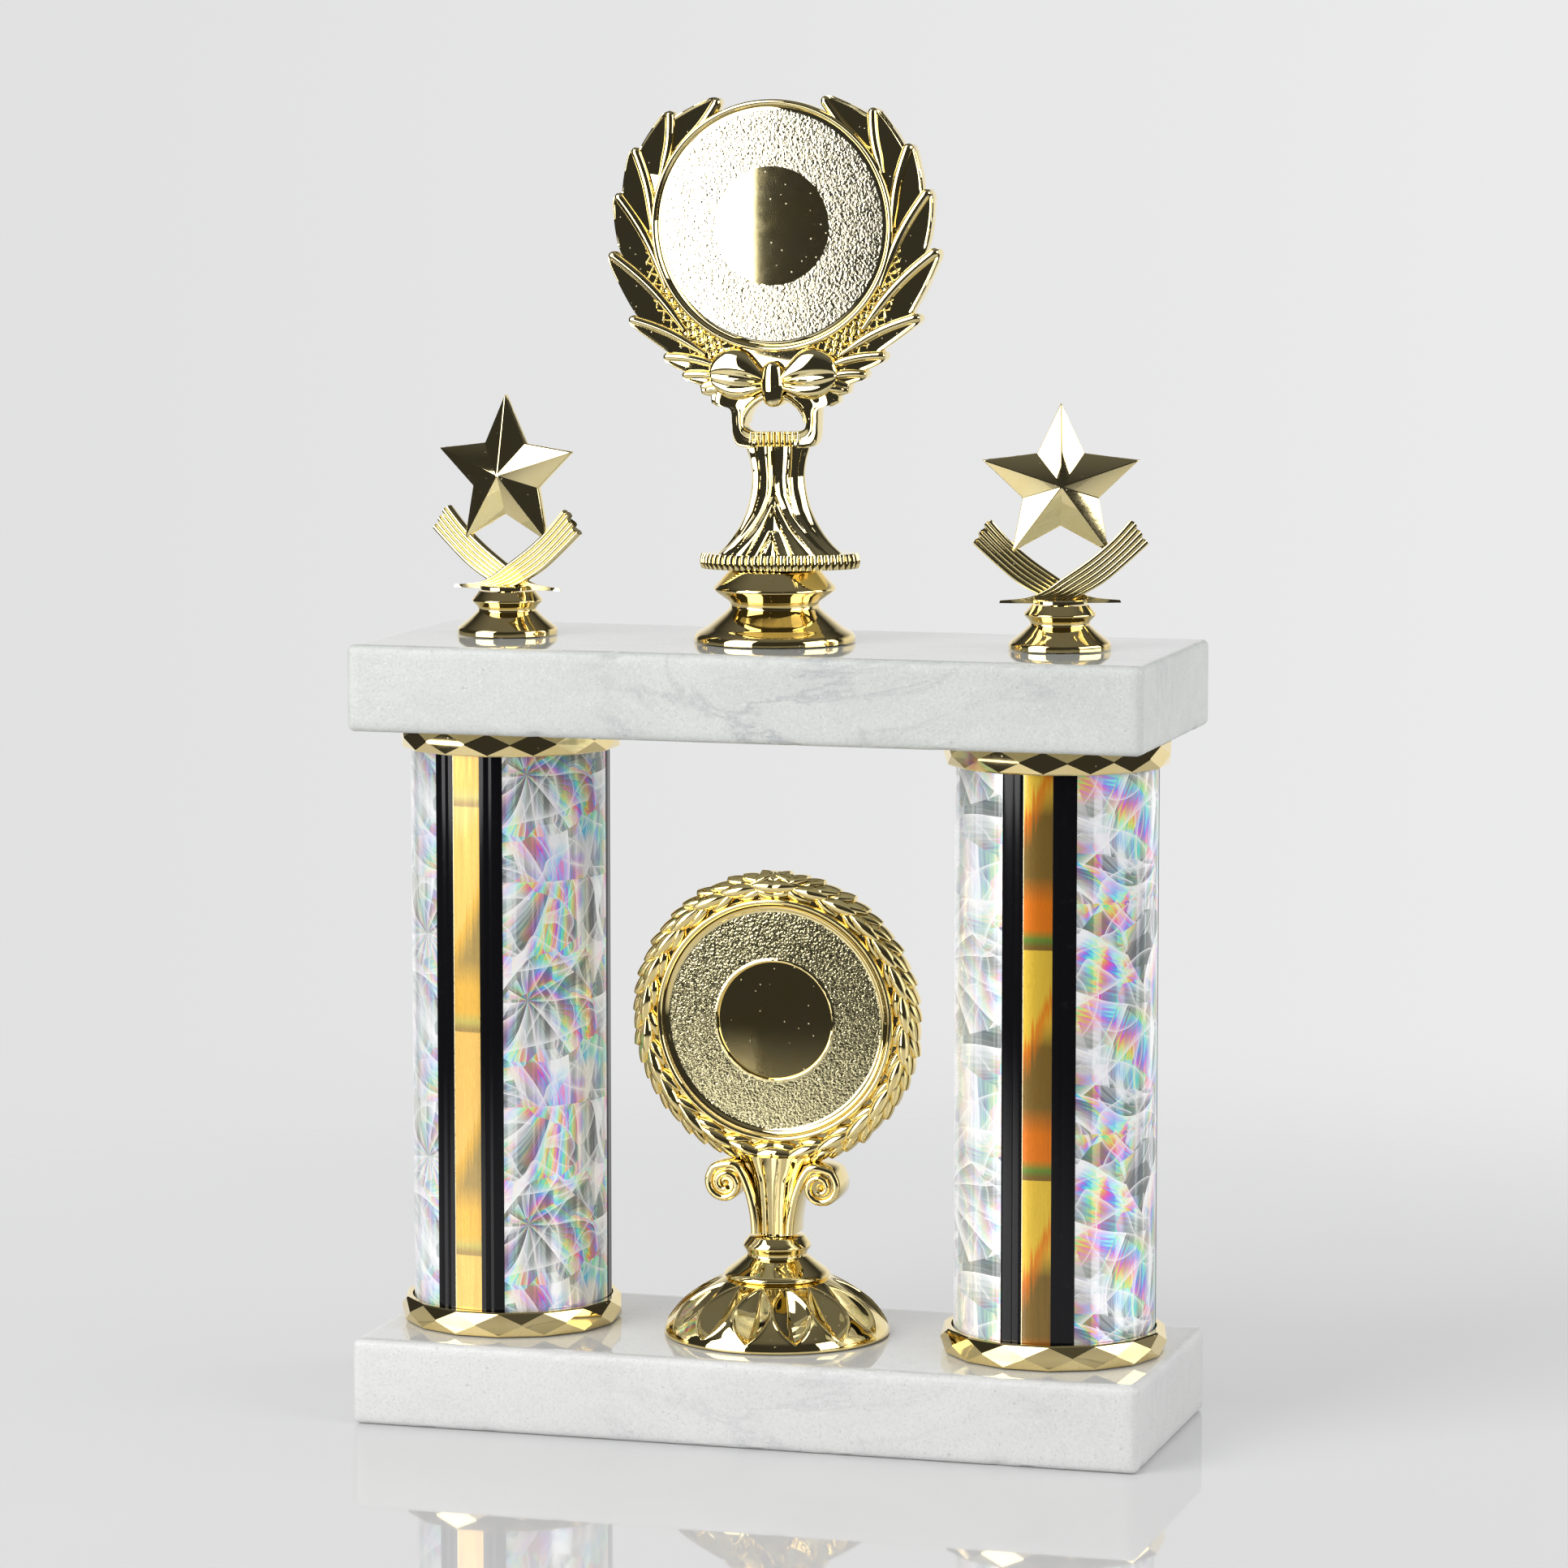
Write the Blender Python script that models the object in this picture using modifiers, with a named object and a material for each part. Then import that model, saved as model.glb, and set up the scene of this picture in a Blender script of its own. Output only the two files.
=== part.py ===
"""Two-column presentation award: marble slabs, film-wrapped columns, gilt rings, risers and figures.

The frame is in metres. +Z is up, +X runs along the slabs, the front faces -Y, and the origin is the
centre of the base slab's underside.
"""

from math import cos, pi, radians, sin

import bmesh
import bpy
from mathutils import Matrix, Vector

INCH = 0.0254
GAP = 0.0003

SLAB_LENGTH = 7 * INCH
SLAB_DEPTH = 2.625 * INCH
SLAB_THICKNESS = 0.75 * INCH
SLAB_BEVEL = 0.0016

SLAB_GAP = 0.13495

COLUMN_X = 0.0625
FILM_RADIUS = 0.875 * INCH
FILM_THICKNESS = 0.0004
TUBE_WALL = 0.0014

RING_RADIUS = 0.0249
RING_HEIGHT = 0.0054
RING_FLOOR = 0.0008
RING_FACETS = 15

ROD_X = 0.0630
ROD_RADIUS = 0.125 * INCH
ROD_CLEARANCE = 0.004
ROD_IN_RISER = 0.0055
STUD_RADIUS = 0.0024
STUD_CLEARANCE = 0.003
STUD_IN_FIGURE = 0.008

COUNTERBORE_RADIUS = 0.0105
COUNTERBORE_DEPTH = 0.010
ROD_NUT = {"across_flats": 0.0111, "height": 0.0055}
ROD_WASHER = {"radius": 0.0080, "height": 0.0016}
STUD_NUT = {"across_flats": 0.0095, "height": 0.0034}
STUD_WASHER = {"radius": 0.0064, "height": 0.0012}

TOP_STUD_X = 0.0
TOP_RISER_X = -0.0012
LOWER_STUD_X = -0.0007
STAR_RISER_HEIGHT = 0.0095
STAR_PEG_RADIUS = 0.0022
STAR_RADIUS = 0.01815
STAR_NOTCH_RADIUS = 0.00865
STAR_EDGE = 0.0018
STAR_APEX = 0.0045
STAR_LIFT = 0.0257
STAR_TURN = {"left": radians(-11.5), "right": radians(16)}
RIBBON_THICKNESS = 0.0022
RIBBON_FRONT = 0.0017
STAR_SEAT_RADIUS = 0.0060

TOP_RISER_HEIGHT = 0.0156
RISER_BORE = 0.0045
TOP_COLLAR = {"half_length": 0.0181, "half_depth": 0.0095, "height": 0.0034}
TOP_LEAN = radians(1.0)
TOP_DISC_LIFT = 0.0746
HANDLE_THICKNESS = 0.0052
# Each leaf's tip, as an angle from straight up and a radius in millimetres.
TOP_LEAF_TIPS = [
    (23, 30.0),
    (42, 34.0),
    (61, 35.6),
    (78, 36.2),
    (98.5, 37.7),
    (121, 38.6),
    (138, 37.8),
    (147.5, 38.5),
]

FOOT_RADIUS = 0.02515
FOOT_PETALS = 14
FOOT_RIM = 0.0243
FOOT_CROWN = 0.0112
PETAL_DEPTH = 0.0016
FOOT_HEIGHT = 0.0218
LOWER_DISC_LIFT = 0.04795

RECESS_RADIUS = 0.0257
RIM_RADIUS = 0.0273
HOLDER_THICKNESS = 0.0056
RECESS_DEPTH = 0.0009

ROUND_STEPS = 48
SMALL_STEPS = 24

BASE_TOP = SLAB_THICKNESS
TUBE_LENGTH = SLAB_GAP - 2 * RING_FLOOR - 4 * GAP
UPPER_SLAB = BASE_TOP + SLAB_GAP
UPPER_TOP = UPPER_SLAB + SLAB_THICKNESS


def clear_scene():
    for item in list(bpy.data.objects):
        bpy.data.objects.remove(item, do_unlink=True)


def new_collection(name):
    group = bpy.data.collections.new(name)
    bpy.context.scene.collection.children.link(group)
    return group


def finish(name, colour, roughness, metallic):
    material = bpy.data.materials.new(name)
    material.use_nodes = True
    shader = material.node_tree.nodes["Principled BSDF"]
    shader.inputs["Base Color"].default_value = (*colour, 1)
    shader.inputs["Roughness"].default_value = roughness
    shader.inputs["Metallic"].default_value = metallic
    return material


clear_scene()
AWARD = new_collection("two_column_award")
CUTTERS = new_collection("cutters")
CUTTERS.hide_render = True

MARBLE = finish("marble", (0.80, 0.82, 0.80), 0.22, 0)
GILT = finish("gilt_plating", (0.88, 0.76, 0.42), 0.08, 1)
FILM = finish("prism_film", (0.72, 0.76, 0.78), 0.2, 0.8)
BOARD = finish("column_board", (0.62, 0.55, 0.45), 0.85, 0)
STEEL = finish("zinc_steel", (0.66, 0.67, 0.69), 0.35, 1)


def place(mesh, name, material, origin=(0, 0, 0)):
    """A mesh as a named part of the award, with its origin where it is given."""
    item = bpy.data.objects.new(name, mesh)
    item.location = origin
    AWARD.objects.link(item)
    mesh.materials.clear()
    mesh.materials.append(material)
    return item


def keep(form, name, material, origin=(0, 0, 0)):
    mesh = bpy.data.meshes.new(name)
    bmesh.ops.recalc_face_normals(form, faces=form.faces)
    form.to_mesh(mesh)
    form.free()
    return place(mesh, name, material, origin)


def as_cutter(item):
    AWARD.objects.unlink(item)
    CUTTERS.objects.link(item)
    item.hide_render = True
    item.display_type = "WIRE"
    return item


def combine(item, other, operation, solver):
    """Cuts a helper out of the item, or joins it on."""
    modifier = item.modifiers.new(other.name, "BOOLEAN")
    modifier.operation = operation
    modifier.solver = solver
    modifier.object = as_cutter(other)


def cut(item, cutter):
    combine(item, cutter, "DIFFERENCE", "EXACT")


def join(item, extra):
    """Joins a moulded detail on. MANIFOLD holds up where many leaves cross at one place."""
    combine(item, extra, "UNION", "MANIFOLD")


def pierce(item, cutter):
    """Cuts a moulded figure after its details are joined."""
    combine(item, cutter, "DIFFERENCE", "MANIFOLD")


def smooth(item, angle=30):
    item.data.shade_smooth()
    item.data.set_sharp_from_angle(angle=radians(angle))


def rod_form(radius, bottom, top, steps):
    """An upright cylinder between two heights."""
    form = bmesh.new()
    lift = Matrix.Translation((0, 0, (bottom + top) / 2))
    bmesh.ops.create_cone(
        form, cap_ends=True, segments=steps, radius1=radius, radius2=radius, depth=top - bottom, matrix=lift
    )
    return form


def upright(name, material, origin, radius, bottom, top, steps=SMALL_STEPS):
    return keep(rod_form(radius, bottom, top, steps), name, material, origin)


def across(name, material, origin, radius, thickness, steps):
    """A cylinder whose axis runs front to back, centred on its origin."""
    form = rod_form(radius, -thickness / 2, thickness / 2, steps)
    bmesh.ops.rotate(form, verts=form.verts, matrix=Matrix.Rotation(pi / 2, 3, "X"))
    return keep(form, name, material, origin)


def block(name, material, low, high):
    form = bmesh.new()
    bmesh.ops.create_cube(form, size=1)
    low, high = Vector(low), Vector(high)
    bmesh.ops.scale(form, verts=form.verts, vec=high - low)
    bmesh.ops.translate(form, verts=form.verts, vec=(low + high) / 2)
    return keep(form, name, material)


def turned(name, material, origin, outline, steps=ROUND_STEPS):
    """A solid of revolution about +Z from a closed (radius, height) outline, down its outer side first."""
    mesh = bpy.data.meshes.new(name)
    count = len(outline)
    edges = [(i, (i + 1) % count) for i in range(count)]
    mesh.from_pydata([(radius, 0, height) for radius, height in outline], edges, [])
    item = place(mesh, name, material, origin)
    screw = item.modifiers.new("turn", "SCREW")
    screw.steps = steps
    screw.render_steps = steps
    screw.use_merge_vertices = True
    screw.merge_threshold = 0.00001
    return item


def bored(profile, bore):
    """An outer profile, top to bottom, closed by a straight bore."""
    return [*profile, (bore, profile[-1][1]), (bore, profile[0][1])]


def slab(name, bottom, stud_x):
    item = block(
        name,
        MARBLE,
        (-SLAB_LENGTH / 2, -SLAB_DEPTH / 2, bottom),
        (SLAB_LENGTH / 2, SLAB_DEPTH / 2, bottom + SLAB_THICKNESS),
    )
    bevel = item.modifiers.new("worn edges", "BEVEL")
    bevel.width = SLAB_BEVEL
    bevel.segments = 2
    low, high = bottom - 0.01, bottom + 0.03
    for side in (-1, 1):
        cut(item, upright("rod_hole", MARBLE, (side * ROD_X, 0, 0), ROD_CLEARANCE, low, high))
    cut(item, upright("stud_hole", MARBLE, (stud_x, 0, 0), STUD_CLEARANCE, low, high))
    return item


def counterbore(item, x, bottom):
    """A pocket under a slab that hides a washer and a nut."""
    low, high = bottom - 0.01, bottom + COUNTERBORE_DEPTH
    cut(item, upright("counterbore", MARBLE, (x, 0, 0), COUNTERBORE_RADIUS, low, high))


def make_slabs():
    base = slab("base_slab", 0, LOWER_STUD_X)
    for x in (-ROD_X, LOWER_STUD_X, ROD_X):
        counterbore(base, x, 0)
    top = slab("top_slab", UPPER_SLAB, TOP_STUD_X)
    counterbore(top, TOP_STUD_X, UPPER_SLAB)


def make_column(side, x):
    """A board tube, and the printed film wrapped round it."""
    bottom = BASE_TOP + RING_FLOOR + 2 * GAP
    top = bottom + TUBE_LENGTH
    outer = FILM_RADIUS - FILM_THICKNESS - GAP
    inner = outer - TUBE_WALL
    tube = [(outer, top), (outer, bottom), (inner, bottom), (inner, top)]
    smooth(turned(f"column_tube_{side}", BOARD, (x, 0, 0), tube))
    inner = FILM_RADIUS - FILM_THICKNESS
    film = [(FILM_RADIUS, top), (FILM_RADIUS, bottom), (inner, bottom), (inner, top)]
    smooth(turned(f"column_film_{side}", FILM, (x, 0, 0), film))


def ring_form():
    """A cup that takes the tube's end: a creased and faceted wall on a drilled floor, opening upwards."""
    form = bmesh.new()
    steps = 2 * RING_FACETS
    socket = FILM_RADIUS + GAP
    rows = []
    for height, even, odd in (
        (0, RING_RADIUS - 0.0011, RING_RADIUS - 0.0007),
        (RING_HEIGHT * 0.45, RING_RADIUS, RING_RADIUS - 0.0008),
        (RING_HEIGHT, RING_RADIUS - 0.0014, RING_RADIUS - 0.0009),
        (RING_HEIGHT, socket, socket),
        (RING_FLOOR, socket, socket),
        (RING_FLOOR, ROD_CLEARANCE, ROD_CLEARANCE),
        (0, ROD_CLEARANCE, ROD_CLEARANCE),
    ):
        row = []
        for step in range(steps):
            angle = 2 * pi * step / steps
            radius = odd if step % 2 else even
            row.append(form.verts.new((radius * cos(angle), radius * sin(angle), height)))
        rows.append(row)
    for lower, upper in zip(rows, [*rows[1:], rows[0]]):
        for step in range(steps):
            after = (step + 1) % steps
            form.faces.new((lower[step], lower[after], upper[after], upper[step]))
    return form


def make_rings(side, x):
    lower = keep(ring_form(), f"lower_ring_{side}", GILT, (x, 0, BASE_TOP + GAP))
    lower.rotation_euler.z = radians(5)
    upper = keep(ring_form(), f"upper_ring_{side}", GILT, (x, 0, UPPER_SLAB - GAP))
    upper.rotation_euler.x = pi


def washer(name, x, top, radius, height, hole):
    profile = [(radius, top), (radius, top - height)]
    turned(name, STEEL, (x, 0, 0), bored(profile, hole), SMALL_STEPS)


def nut(name, x, top, across_flats, height, hole):
    corner = across_flats / 2 / cos(pi / 6)
    body = upright(name, STEEL, (x, 0, 0), corner, top - height, top, 6)
    cut(body, upright("thread", STEEL, (x, 0, 0), hole, top - height - 0.01, top + 0.01))


def fastening(label, x, slab_bottom, radius, washer_size, nut_size):
    """The washer and nut that pull a rod or stud up from its counterbore. Gives the rod's lower end."""
    top = slab_bottom + COUNTERBORE_DEPTH - GAP
    washer(f"{label}_washer", x, top, washer_size["radius"], washer_size["height"], radius + GAP)
    top -= washer_size["height"] + GAP
    nut(f"{label}_nut", x, top, nut_size["across_flats"], nut_size["height"], radius + GAP)
    return top - nut_size["height"] - 0.0006


def make_tie_rod(side, x):
    bottom = fastening(f"tie_rod_{side}", x, 0, ROD_RADIUS, ROD_WASHER, ROD_NUT)
    top = UPPER_TOP + GAP + ROD_IN_RISER
    smooth(upright(f"tie_rod_{side}", STEEL, (x, 0, 0), ROD_RADIUS, bottom, top))


def make_stud(label, x, slab_bottom, figure_bottom):
    bottom = fastening(label, x, slab_bottom, STUD_RADIUS, STUD_WASHER, STUD_NUT)
    top = figure_bottom + STUD_IN_FIGURE
    smooth(upright(f"{label}_stud", STEEL, (x, 0, 0), STUD_RADIUS, bottom, top))


def make_star_riser(side, x):
    """A turned cap that screws down on the tie rod. The figure's peg turns in its upper bore."""
    socket = STAR_PEG_RADIUS + GAP
    thread = ROD_RADIUS + GAP
    shoulder = ROD_IN_RISER + GAP
    outline = [
        (0.0062, STAR_RISER_HEIGHT),
        (0.0066, 0.0090),
        (0.0080, 0.0074),
        (0.0066, 0.0060),
        (0.0064, 0.0052),
        (0.0085, 0.0033),
        (0.0109, 0.0014),
        (0.0111, 0.0010),
        (0.0111, 0),
        (thread, 0),
        (thread, shoulder),
        (socket, shoulder),
        (socket, STAR_RISER_HEIGHT),
    ]
    smooth(turned(f"star_riser_{side}", GILT, (x, 0, UPPER_TOP + GAP), outline, 28))


def star_form():
    """A five-pointed star with a low pyramid on each face, standing in the XZ plane."""
    form = bmesh.new()
    bmesh.ops.create_circle(form, cap_ends=True, segments=10, radius=1)
    form.verts.ensure_lookup_table()
    for index, vert in enumerate(form.verts):
        angle = pi / 2 + index * pi / 5
        radius = STAR_NOTCH_RADIUS if index % 2 else STAR_RADIUS
        vert.co = (radius * cos(angle), STAR_EDGE / 2, radius * sin(angle))
    front = bmesh.ops.extrude_face_region(form, geom=form.faces[:])["geom"]
    moved = [item for item in front if isinstance(item, bmesh.types.BMVert)]
    bmesh.ops.translate(form, verts=moved, vec=(0, -STAR_EDGE, 0))
    caps = [face for face in form.faces if len(face.verts) == 10]
    peaks = bmesh.ops.poke(form, faces=caps)["verts"]
    for peak in peaks:
        peak.co = (0, STAR_APEX if peak.co.y > 0 else -STAR_APEX, 0)
    return form


def plate(name, points, front, back, origin):
    """A moulded plate with an outline in the XZ plane, in millimetres, between two depths in metres."""
    form = bmesh.new()
    verts = [form.verts.new((x / 1000, back, z / 1000)) for x, z in points]
    face = form.faces.new(verts)
    moved = [
        item
        for item in bmesh.ops.extrude_face_region(form, geom=[face])["geom"]
        if isinstance(item, bmesh.types.BMVert)
    ]
    bmesh.ops.translate(form, verts=moved, vec=(0, front - back, 0))
    return keep(form, name, GILT, origin)


def ribbon_outline():
    """One curved ribbon in millimetres, from its low pointed tip up to its wide square end."""
    upper = [(-13.0, 0.9), (-6.9, 1.6), (-3.0, 3.4), (0, 5.5), (6.0, 9.7), (11.0, 14.0), (15.3, 18.8)]
    lower = [(19.0, 13.1), (14.3, 8.8), (9.9, 5.1), (5.6, 2.5), (1.5, 0.8), (-4.0, 0.3), (-13.2, 0.3)]
    return upper + lower


def make_star_figure(side, x):
    bottom = UPPER_TOP + GAP + STAR_RISER_HEIGHT
    name = f"star_figure_{side}"
    figure = keep(star_form(), name, GILT, (x, 0, bottom))
    figure.data.transform(Matrix.Translation((0, 0, STAR_LIFT)))
    for flip in (1, -1):
        outline = [(flip * u, z) for u, z in ribbon_outline()]
        near, far = -RIBBON_FRONT * flip, (RIBBON_THICKNESS - RIBBON_FRONT) * flip
        join(figure, plate(f"{name}_ribbon", outline, near, far, (x, 0, bottom)))
    peg_depth = STAR_RISER_HEIGHT - ROD_IN_RISER - 3 * GAP
    join(figure, upright(f"{name}_peg", GILT, (x, 0, bottom), STAR_PEG_RADIUS, -peg_depth, 0.003))
    join(figure, upright(f"{name}_seat", GILT, (x, 0, bottom), STAR_SEAT_RADIUS, GAP, 0.0012))
    turn_parts(figure, STAR_TURN[side])


def turn_parts(figure, angle):
    """Turns a figure and everything that is joined to it about its own upright axis."""
    figure.rotation_euler.z = angle
    for modifier in figure.modifiers:
        modifier.object.rotation_euler.z = angle


def leaf(name, root, tip, width, thickness, origin):
    """A pointed leaf between two (x, z) points, as a stretched sphere."""
    form = bmesh.new()
    bmesh.ops.create_uvsphere(form, u_segments=6, v_segments=6, radius=1)
    start, end = Vector((root[0], 0, root[1])), Vector((tip[0], 0, tip[1]))
    along = end - start
    beside = along.cross((0, 1, 0)).normalized()
    frame = Matrix((beside * width / 2, (0, thickness / 2, 0), along / 2)).transposed().to_4x4()
    bmesh.ops.transform(form, matrix=Matrix.Translation((start + end) / 2) @ frame, verts=form.verts)
    return keep(form, name, GILT, origin)


def polar(angle, radius, lift):
    """A point at an angle from straight up, clockwise from the front, round a disc's centre."""
    return radius * sin(radians(angle)), lift + radius * cos(radians(angle))


def holder(name, lift, origin, stations):
    """The round holder: a raised rim round a recess on both faces, with a polished centre."""
    body = across(name, GILT, origin, RIM_RADIUS, HOLDER_THICKNESS, stations)
    body.data.transform(Matrix.Translation((0, 0, lift)))
    for face in (-1, 1):
        depth = face * (HOLDER_THICKNESS / 2 + 0.001 - RECESS_DEPTH / 2)
        pocket = across(f"{name}_recess", GILT, origin, RECESS_RADIUS, 0.002 + RECESS_DEPTH, stations)
        pocket.data.transform(Matrix.Translation((0, depth, lift)))
        cut(body, pocket)
    return body


def oval_stem(name, profile, origin, steps):
    """A stem lofted through upright (half length, half depth, height) ovals, closed at both ends."""
    form = bmesh.new()
    rows = []
    for half_length, half_depth, height in profile:
        angles = [2 * pi * step / steps for step in range(steps)]
        rows.append([form.verts.new((half_length * cos(a), half_depth * sin(a), height)) for a in angles])
    for lower, upper in zip(rows, rows[1:]):
        for step in range(steps):
            after = (step + 1) % steps
            form.faces.new((lower[step], lower[after], upper[after], upper[step]))
    form.faces.new(rows[0])
    form.faces.new(rows[-1])
    return keep(form, name, GILT, origin)


def make_top_riser():
    """A turned cap with a loose bore, so that it can sit a little to one side of its stud."""
    profile = [
        (0.0098, TOP_RISER_HEIGHT),
        (0.0104, 0.0150),
        (0.0131, 0.0122),
        (0.0136, 0.0114),
        (0.0128, 0.0106),
        (0.0099, 0.0086),
        (0.0097, 0.0074),
        (0.0112, 0.0060),
        (0.0150, 0.0030),
        (0.0172, 0.0018),
        (0.0177, 0.0010),
        (0.0177, 0),
    ]
    smooth(turned("top_riser", GILT, (TOP_RISER_X, 0, UPPER_TOP + GAP), bored(profile, RISER_BORE), 36))


def top_leaves(figure, origin):
    """Eight leaves up each side of the holder, from the bow to its crown."""
    for side in (-1, 1):
        for index, (angle, radius) in enumerate(TOP_LEAF_TIPS):
            tip = polar(side * angle, radius / 1000, TOP_DISC_LIFT)
            root = polar(side * min(angle + 34, 172), 0.0288, TOP_DISC_LIFT)
            join(figure, leaf(f"top_leaf_{side}_{index}", root, tip, 0.0092, 0.0060, origin))


def top_handle(figure, origin):
    """The bow's legs, the open eye below it and the ribbed band that the eye stands on."""
    outer = [(-13.6, 38.0), (-13.6, 35.0), (-10.0, 34.0), (-9.9, 27.0), (-8.2, 25.2)]
    outer += [(-x, z) for x, z in reversed(outer)]
    join(figure, plate("top_handle", outer, -HANDLE_THICKNESS / 2, HANDLE_THICKNESS / 2, origin))
    eye = [(-3.2, 36.2), (-6.4, 33.2), (-6.2, 30.0), (-5.0, 28.9)]
    eye += [(-x, z) for x, z in reversed(eye)]
    pierce(figure, plate("top_eye", eye, -HANDLE_THICKNESS, HANDLE_THICKNESS, origin))


def top_bow(figure, origin):
    knot = leaf("bow_knot", (0, 0.0360), (0, 0.0462), 0.0066, 0.0100, origin)
    for side in (-1, 1):
        start, end = (side * 0.001, 0.0412), (side * 0.0146, 0.0428)
        join(figure, leaf(f"bow_loop_{side}", start, end, 0.0086, 0.0078, origin))
    join(figure, knot)


def make_top_figure():
    """The wreath with its bow, open eye, fluted stem and beaded collar, moulded as one."""
    origin = (TOP_STUD_X, 0, UPPER_TOP + TOP_RISER_HEIGHT + 2 * GAP)
    figure = holder("top_figure", TOP_DISC_LIFT, origin, ROUND_STEPS)
    top_leaves(figure, origin)
    neck = [(-11.5, 36.0), (11.5, 36.0), (14.0, 50.0), (-14.0, 50.0)]
    join(figure, plate("top_neck", neck, -0.0024, 0.0024, origin))
    top_handle(figure, origin)
    top_bow(figure, origin)
    stem = [
        (0.0150, 0.0078, 0.0030),
        (0.0112, 0.0064, 0.0068),
        (0.0082, 0.0052, 0.0118),
        (0.0064, 0.0042, 0.0180),
        (0.0064, 0.0040, 0.0230),
        (0.0072, 0.0042, 0.0265),
    ]
    join(figure, oval_stem("top_stem", stem, origin, SMALL_STEPS))
    half_length, half_depth = TOP_COLLAR["half_length"], TOP_COLLAR["half_depth"]
    collar = [(half_length, half_depth, 0), (half_length, half_depth, TOP_COLLAR["height"])]
    join(figure, oval_stem("top_collar", collar, origin, ROUND_STEPS))
    pierce(figure, upright("top_bore", GILT, origin, STUD_RADIUS + GAP, -0.01, STUD_IN_FIGURE + GAP))
    lean_parts(figure, -TOP_LEAN)


def lean_parts(figure, angle):
    """Leans a figure and its parts sideways, about its own foot."""
    figure.rotation_euler.y = angle
    for modifier in figure.modifiers:
        modifier.object.rotation_euler.y = angle


def petal_depth(angle, along):
    """How deep a petal's keeled hollow is, for an angle from its middle and a share of the way up it."""
    if not 0 < along < 1:
        return 0
    half_width = pi / FOOT_PETALS * sin(pi * along) ** 0.6
    return PETAL_DEPTH * max(0, 1 - abs(angle) / half_width)


def make_foot():
    """The petalled dome, its cone and its collar, turned round the stud."""
    form = bmesh.new()
    steps = 4 * FOOT_PETALS
    petal = 2 * pi / FOOT_PETALS
    dome = [(FOOT_RADIUS, 0), (0.0250, 0.0012), (FOOT_RIM, 0.0026), (0.0215, 0.0062), (0.0180, 0.0089)]
    dome += [(0.0145, 0.0110), (FOOT_CROWN, 0.0126)]
    neck = [(0.0108, 0.0128), (0.0068, 0.0168), (0.0066, 0.0178), (0.0076, 0.0196), (0.0062, FOOT_HEIGHT)]
    bore = STUD_RADIUS + GAP
    rows = []
    for radius, height in [*dome, *neck, (bore, FOOT_HEIGHT), (bore, 0)]:
        along = (FOOT_RIM - radius) / (FOOT_RIM - FOOT_CROWN)
        row = []
        for step in range(steps):
            angle = 2 * pi * step / steps
            middle = (angle + petal / 2) % petal - petal / 2
            sunk = petal_depth(middle, along)
            row.append(form.verts.new((radius * cos(angle), radius * sin(angle), height - sunk)))
        rows.append(row)
    for lower, upper in zip(rows, [*rows[1:], rows[0]]):
        for step in range(steps):
            after = (step + 1) % steps
            form.faces.new((lower[step], lower[after], upper[after], upper[step]))
    keep(form, "lower_foot", GILT, (LOWER_STUD_X, 0, BASE_TOP + GAP))


def laurel(figure, lift, origin, leaves, radius):
    """A closed ring of leaves that climbs both sides from the bottom."""
    for side in (-1, 1):
        for index in range(leaves):
            start = 176 - index * 172 / leaves
            root = polar(side * start, radius - 0.0008, lift)
            tip = polar(side * (start - 24), radius + 0.0022, lift)
            join(figure, leaf(f"laurel_{side}_{index}", root, tip, 0.0054, 0.0078, origin))


def make_lower_figure():
    """The laurel ring on a fluted stem between two scrolls, moulded as one."""
    origin = (LOWER_STUD_X, 0, BASE_TOP + FOOT_HEIGHT + 2 * GAP)
    figure = holder("lower_figure", LOWER_DISC_LIFT, origin, ROUND_STEPS)
    laurel(figure, LOWER_DISC_LIFT, origin, 10, 0.0290)
    stem = [
        (0.0044, 0.0042, 0),
        (0.0047, 0.0043, 0.0040),
        (0.0058, 0.0046, 0.0090),
        (0.0090, 0.0052, 0.0150),
        (0.0120, 0.0054, 0.0185),
    ]
    join(figure, oval_stem("lower_stem", stem, origin, SMALL_STEPS))
    for side in (-1, 1):
        middle = (origin[0] + side * 0.0109, 0, origin[2] + 0.0112)
        join(figure, across(f"scroll_{side}", GILT, middle, 0.0043, 0.0094, 20))
    pierce(figure, upright("lower_bore", GILT, origin, STUD_RADIUS + GAP, -0.01, STUD_IN_FIGURE + GAP))


def main():
    make_slabs()
    for side, sign in (("left", -1), ("right", 1)):
        make_column(side, sign * COLUMN_X)
        make_rings(side, sign * COLUMN_X)
        make_tie_rod(side, sign * ROD_X)
        make_star_riser(side, sign * ROD_X)
        make_star_figure(side, sign * ROD_X)
    make_stud("top_figure", TOP_STUD_X, UPPER_SLAB, UPPER_TOP + TOP_RISER_HEIGHT + 2 * GAP)
    make_top_riser()
    make_top_figure()
    make_stud("lower_figure", LOWER_STUD_X, 0, BASE_TOP + FOOT_HEIGHT + 2 * GAP)
    make_foot()
    make_lower_figure()


main()
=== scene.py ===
"""Two-column presentation award: marble slabs, film-wrapped columns, gilt risers and moulded figures.

The file is laid out as an add-on and run as a script. Lengths in the helpers are millimetres, and
each piece is built round its own axis before it is placed in the award's frame, in metres.
"""

from math import cos, exp, hypot, pi, radians, sin, sqrt

import bmesh
import bpy
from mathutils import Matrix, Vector, noise


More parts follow.
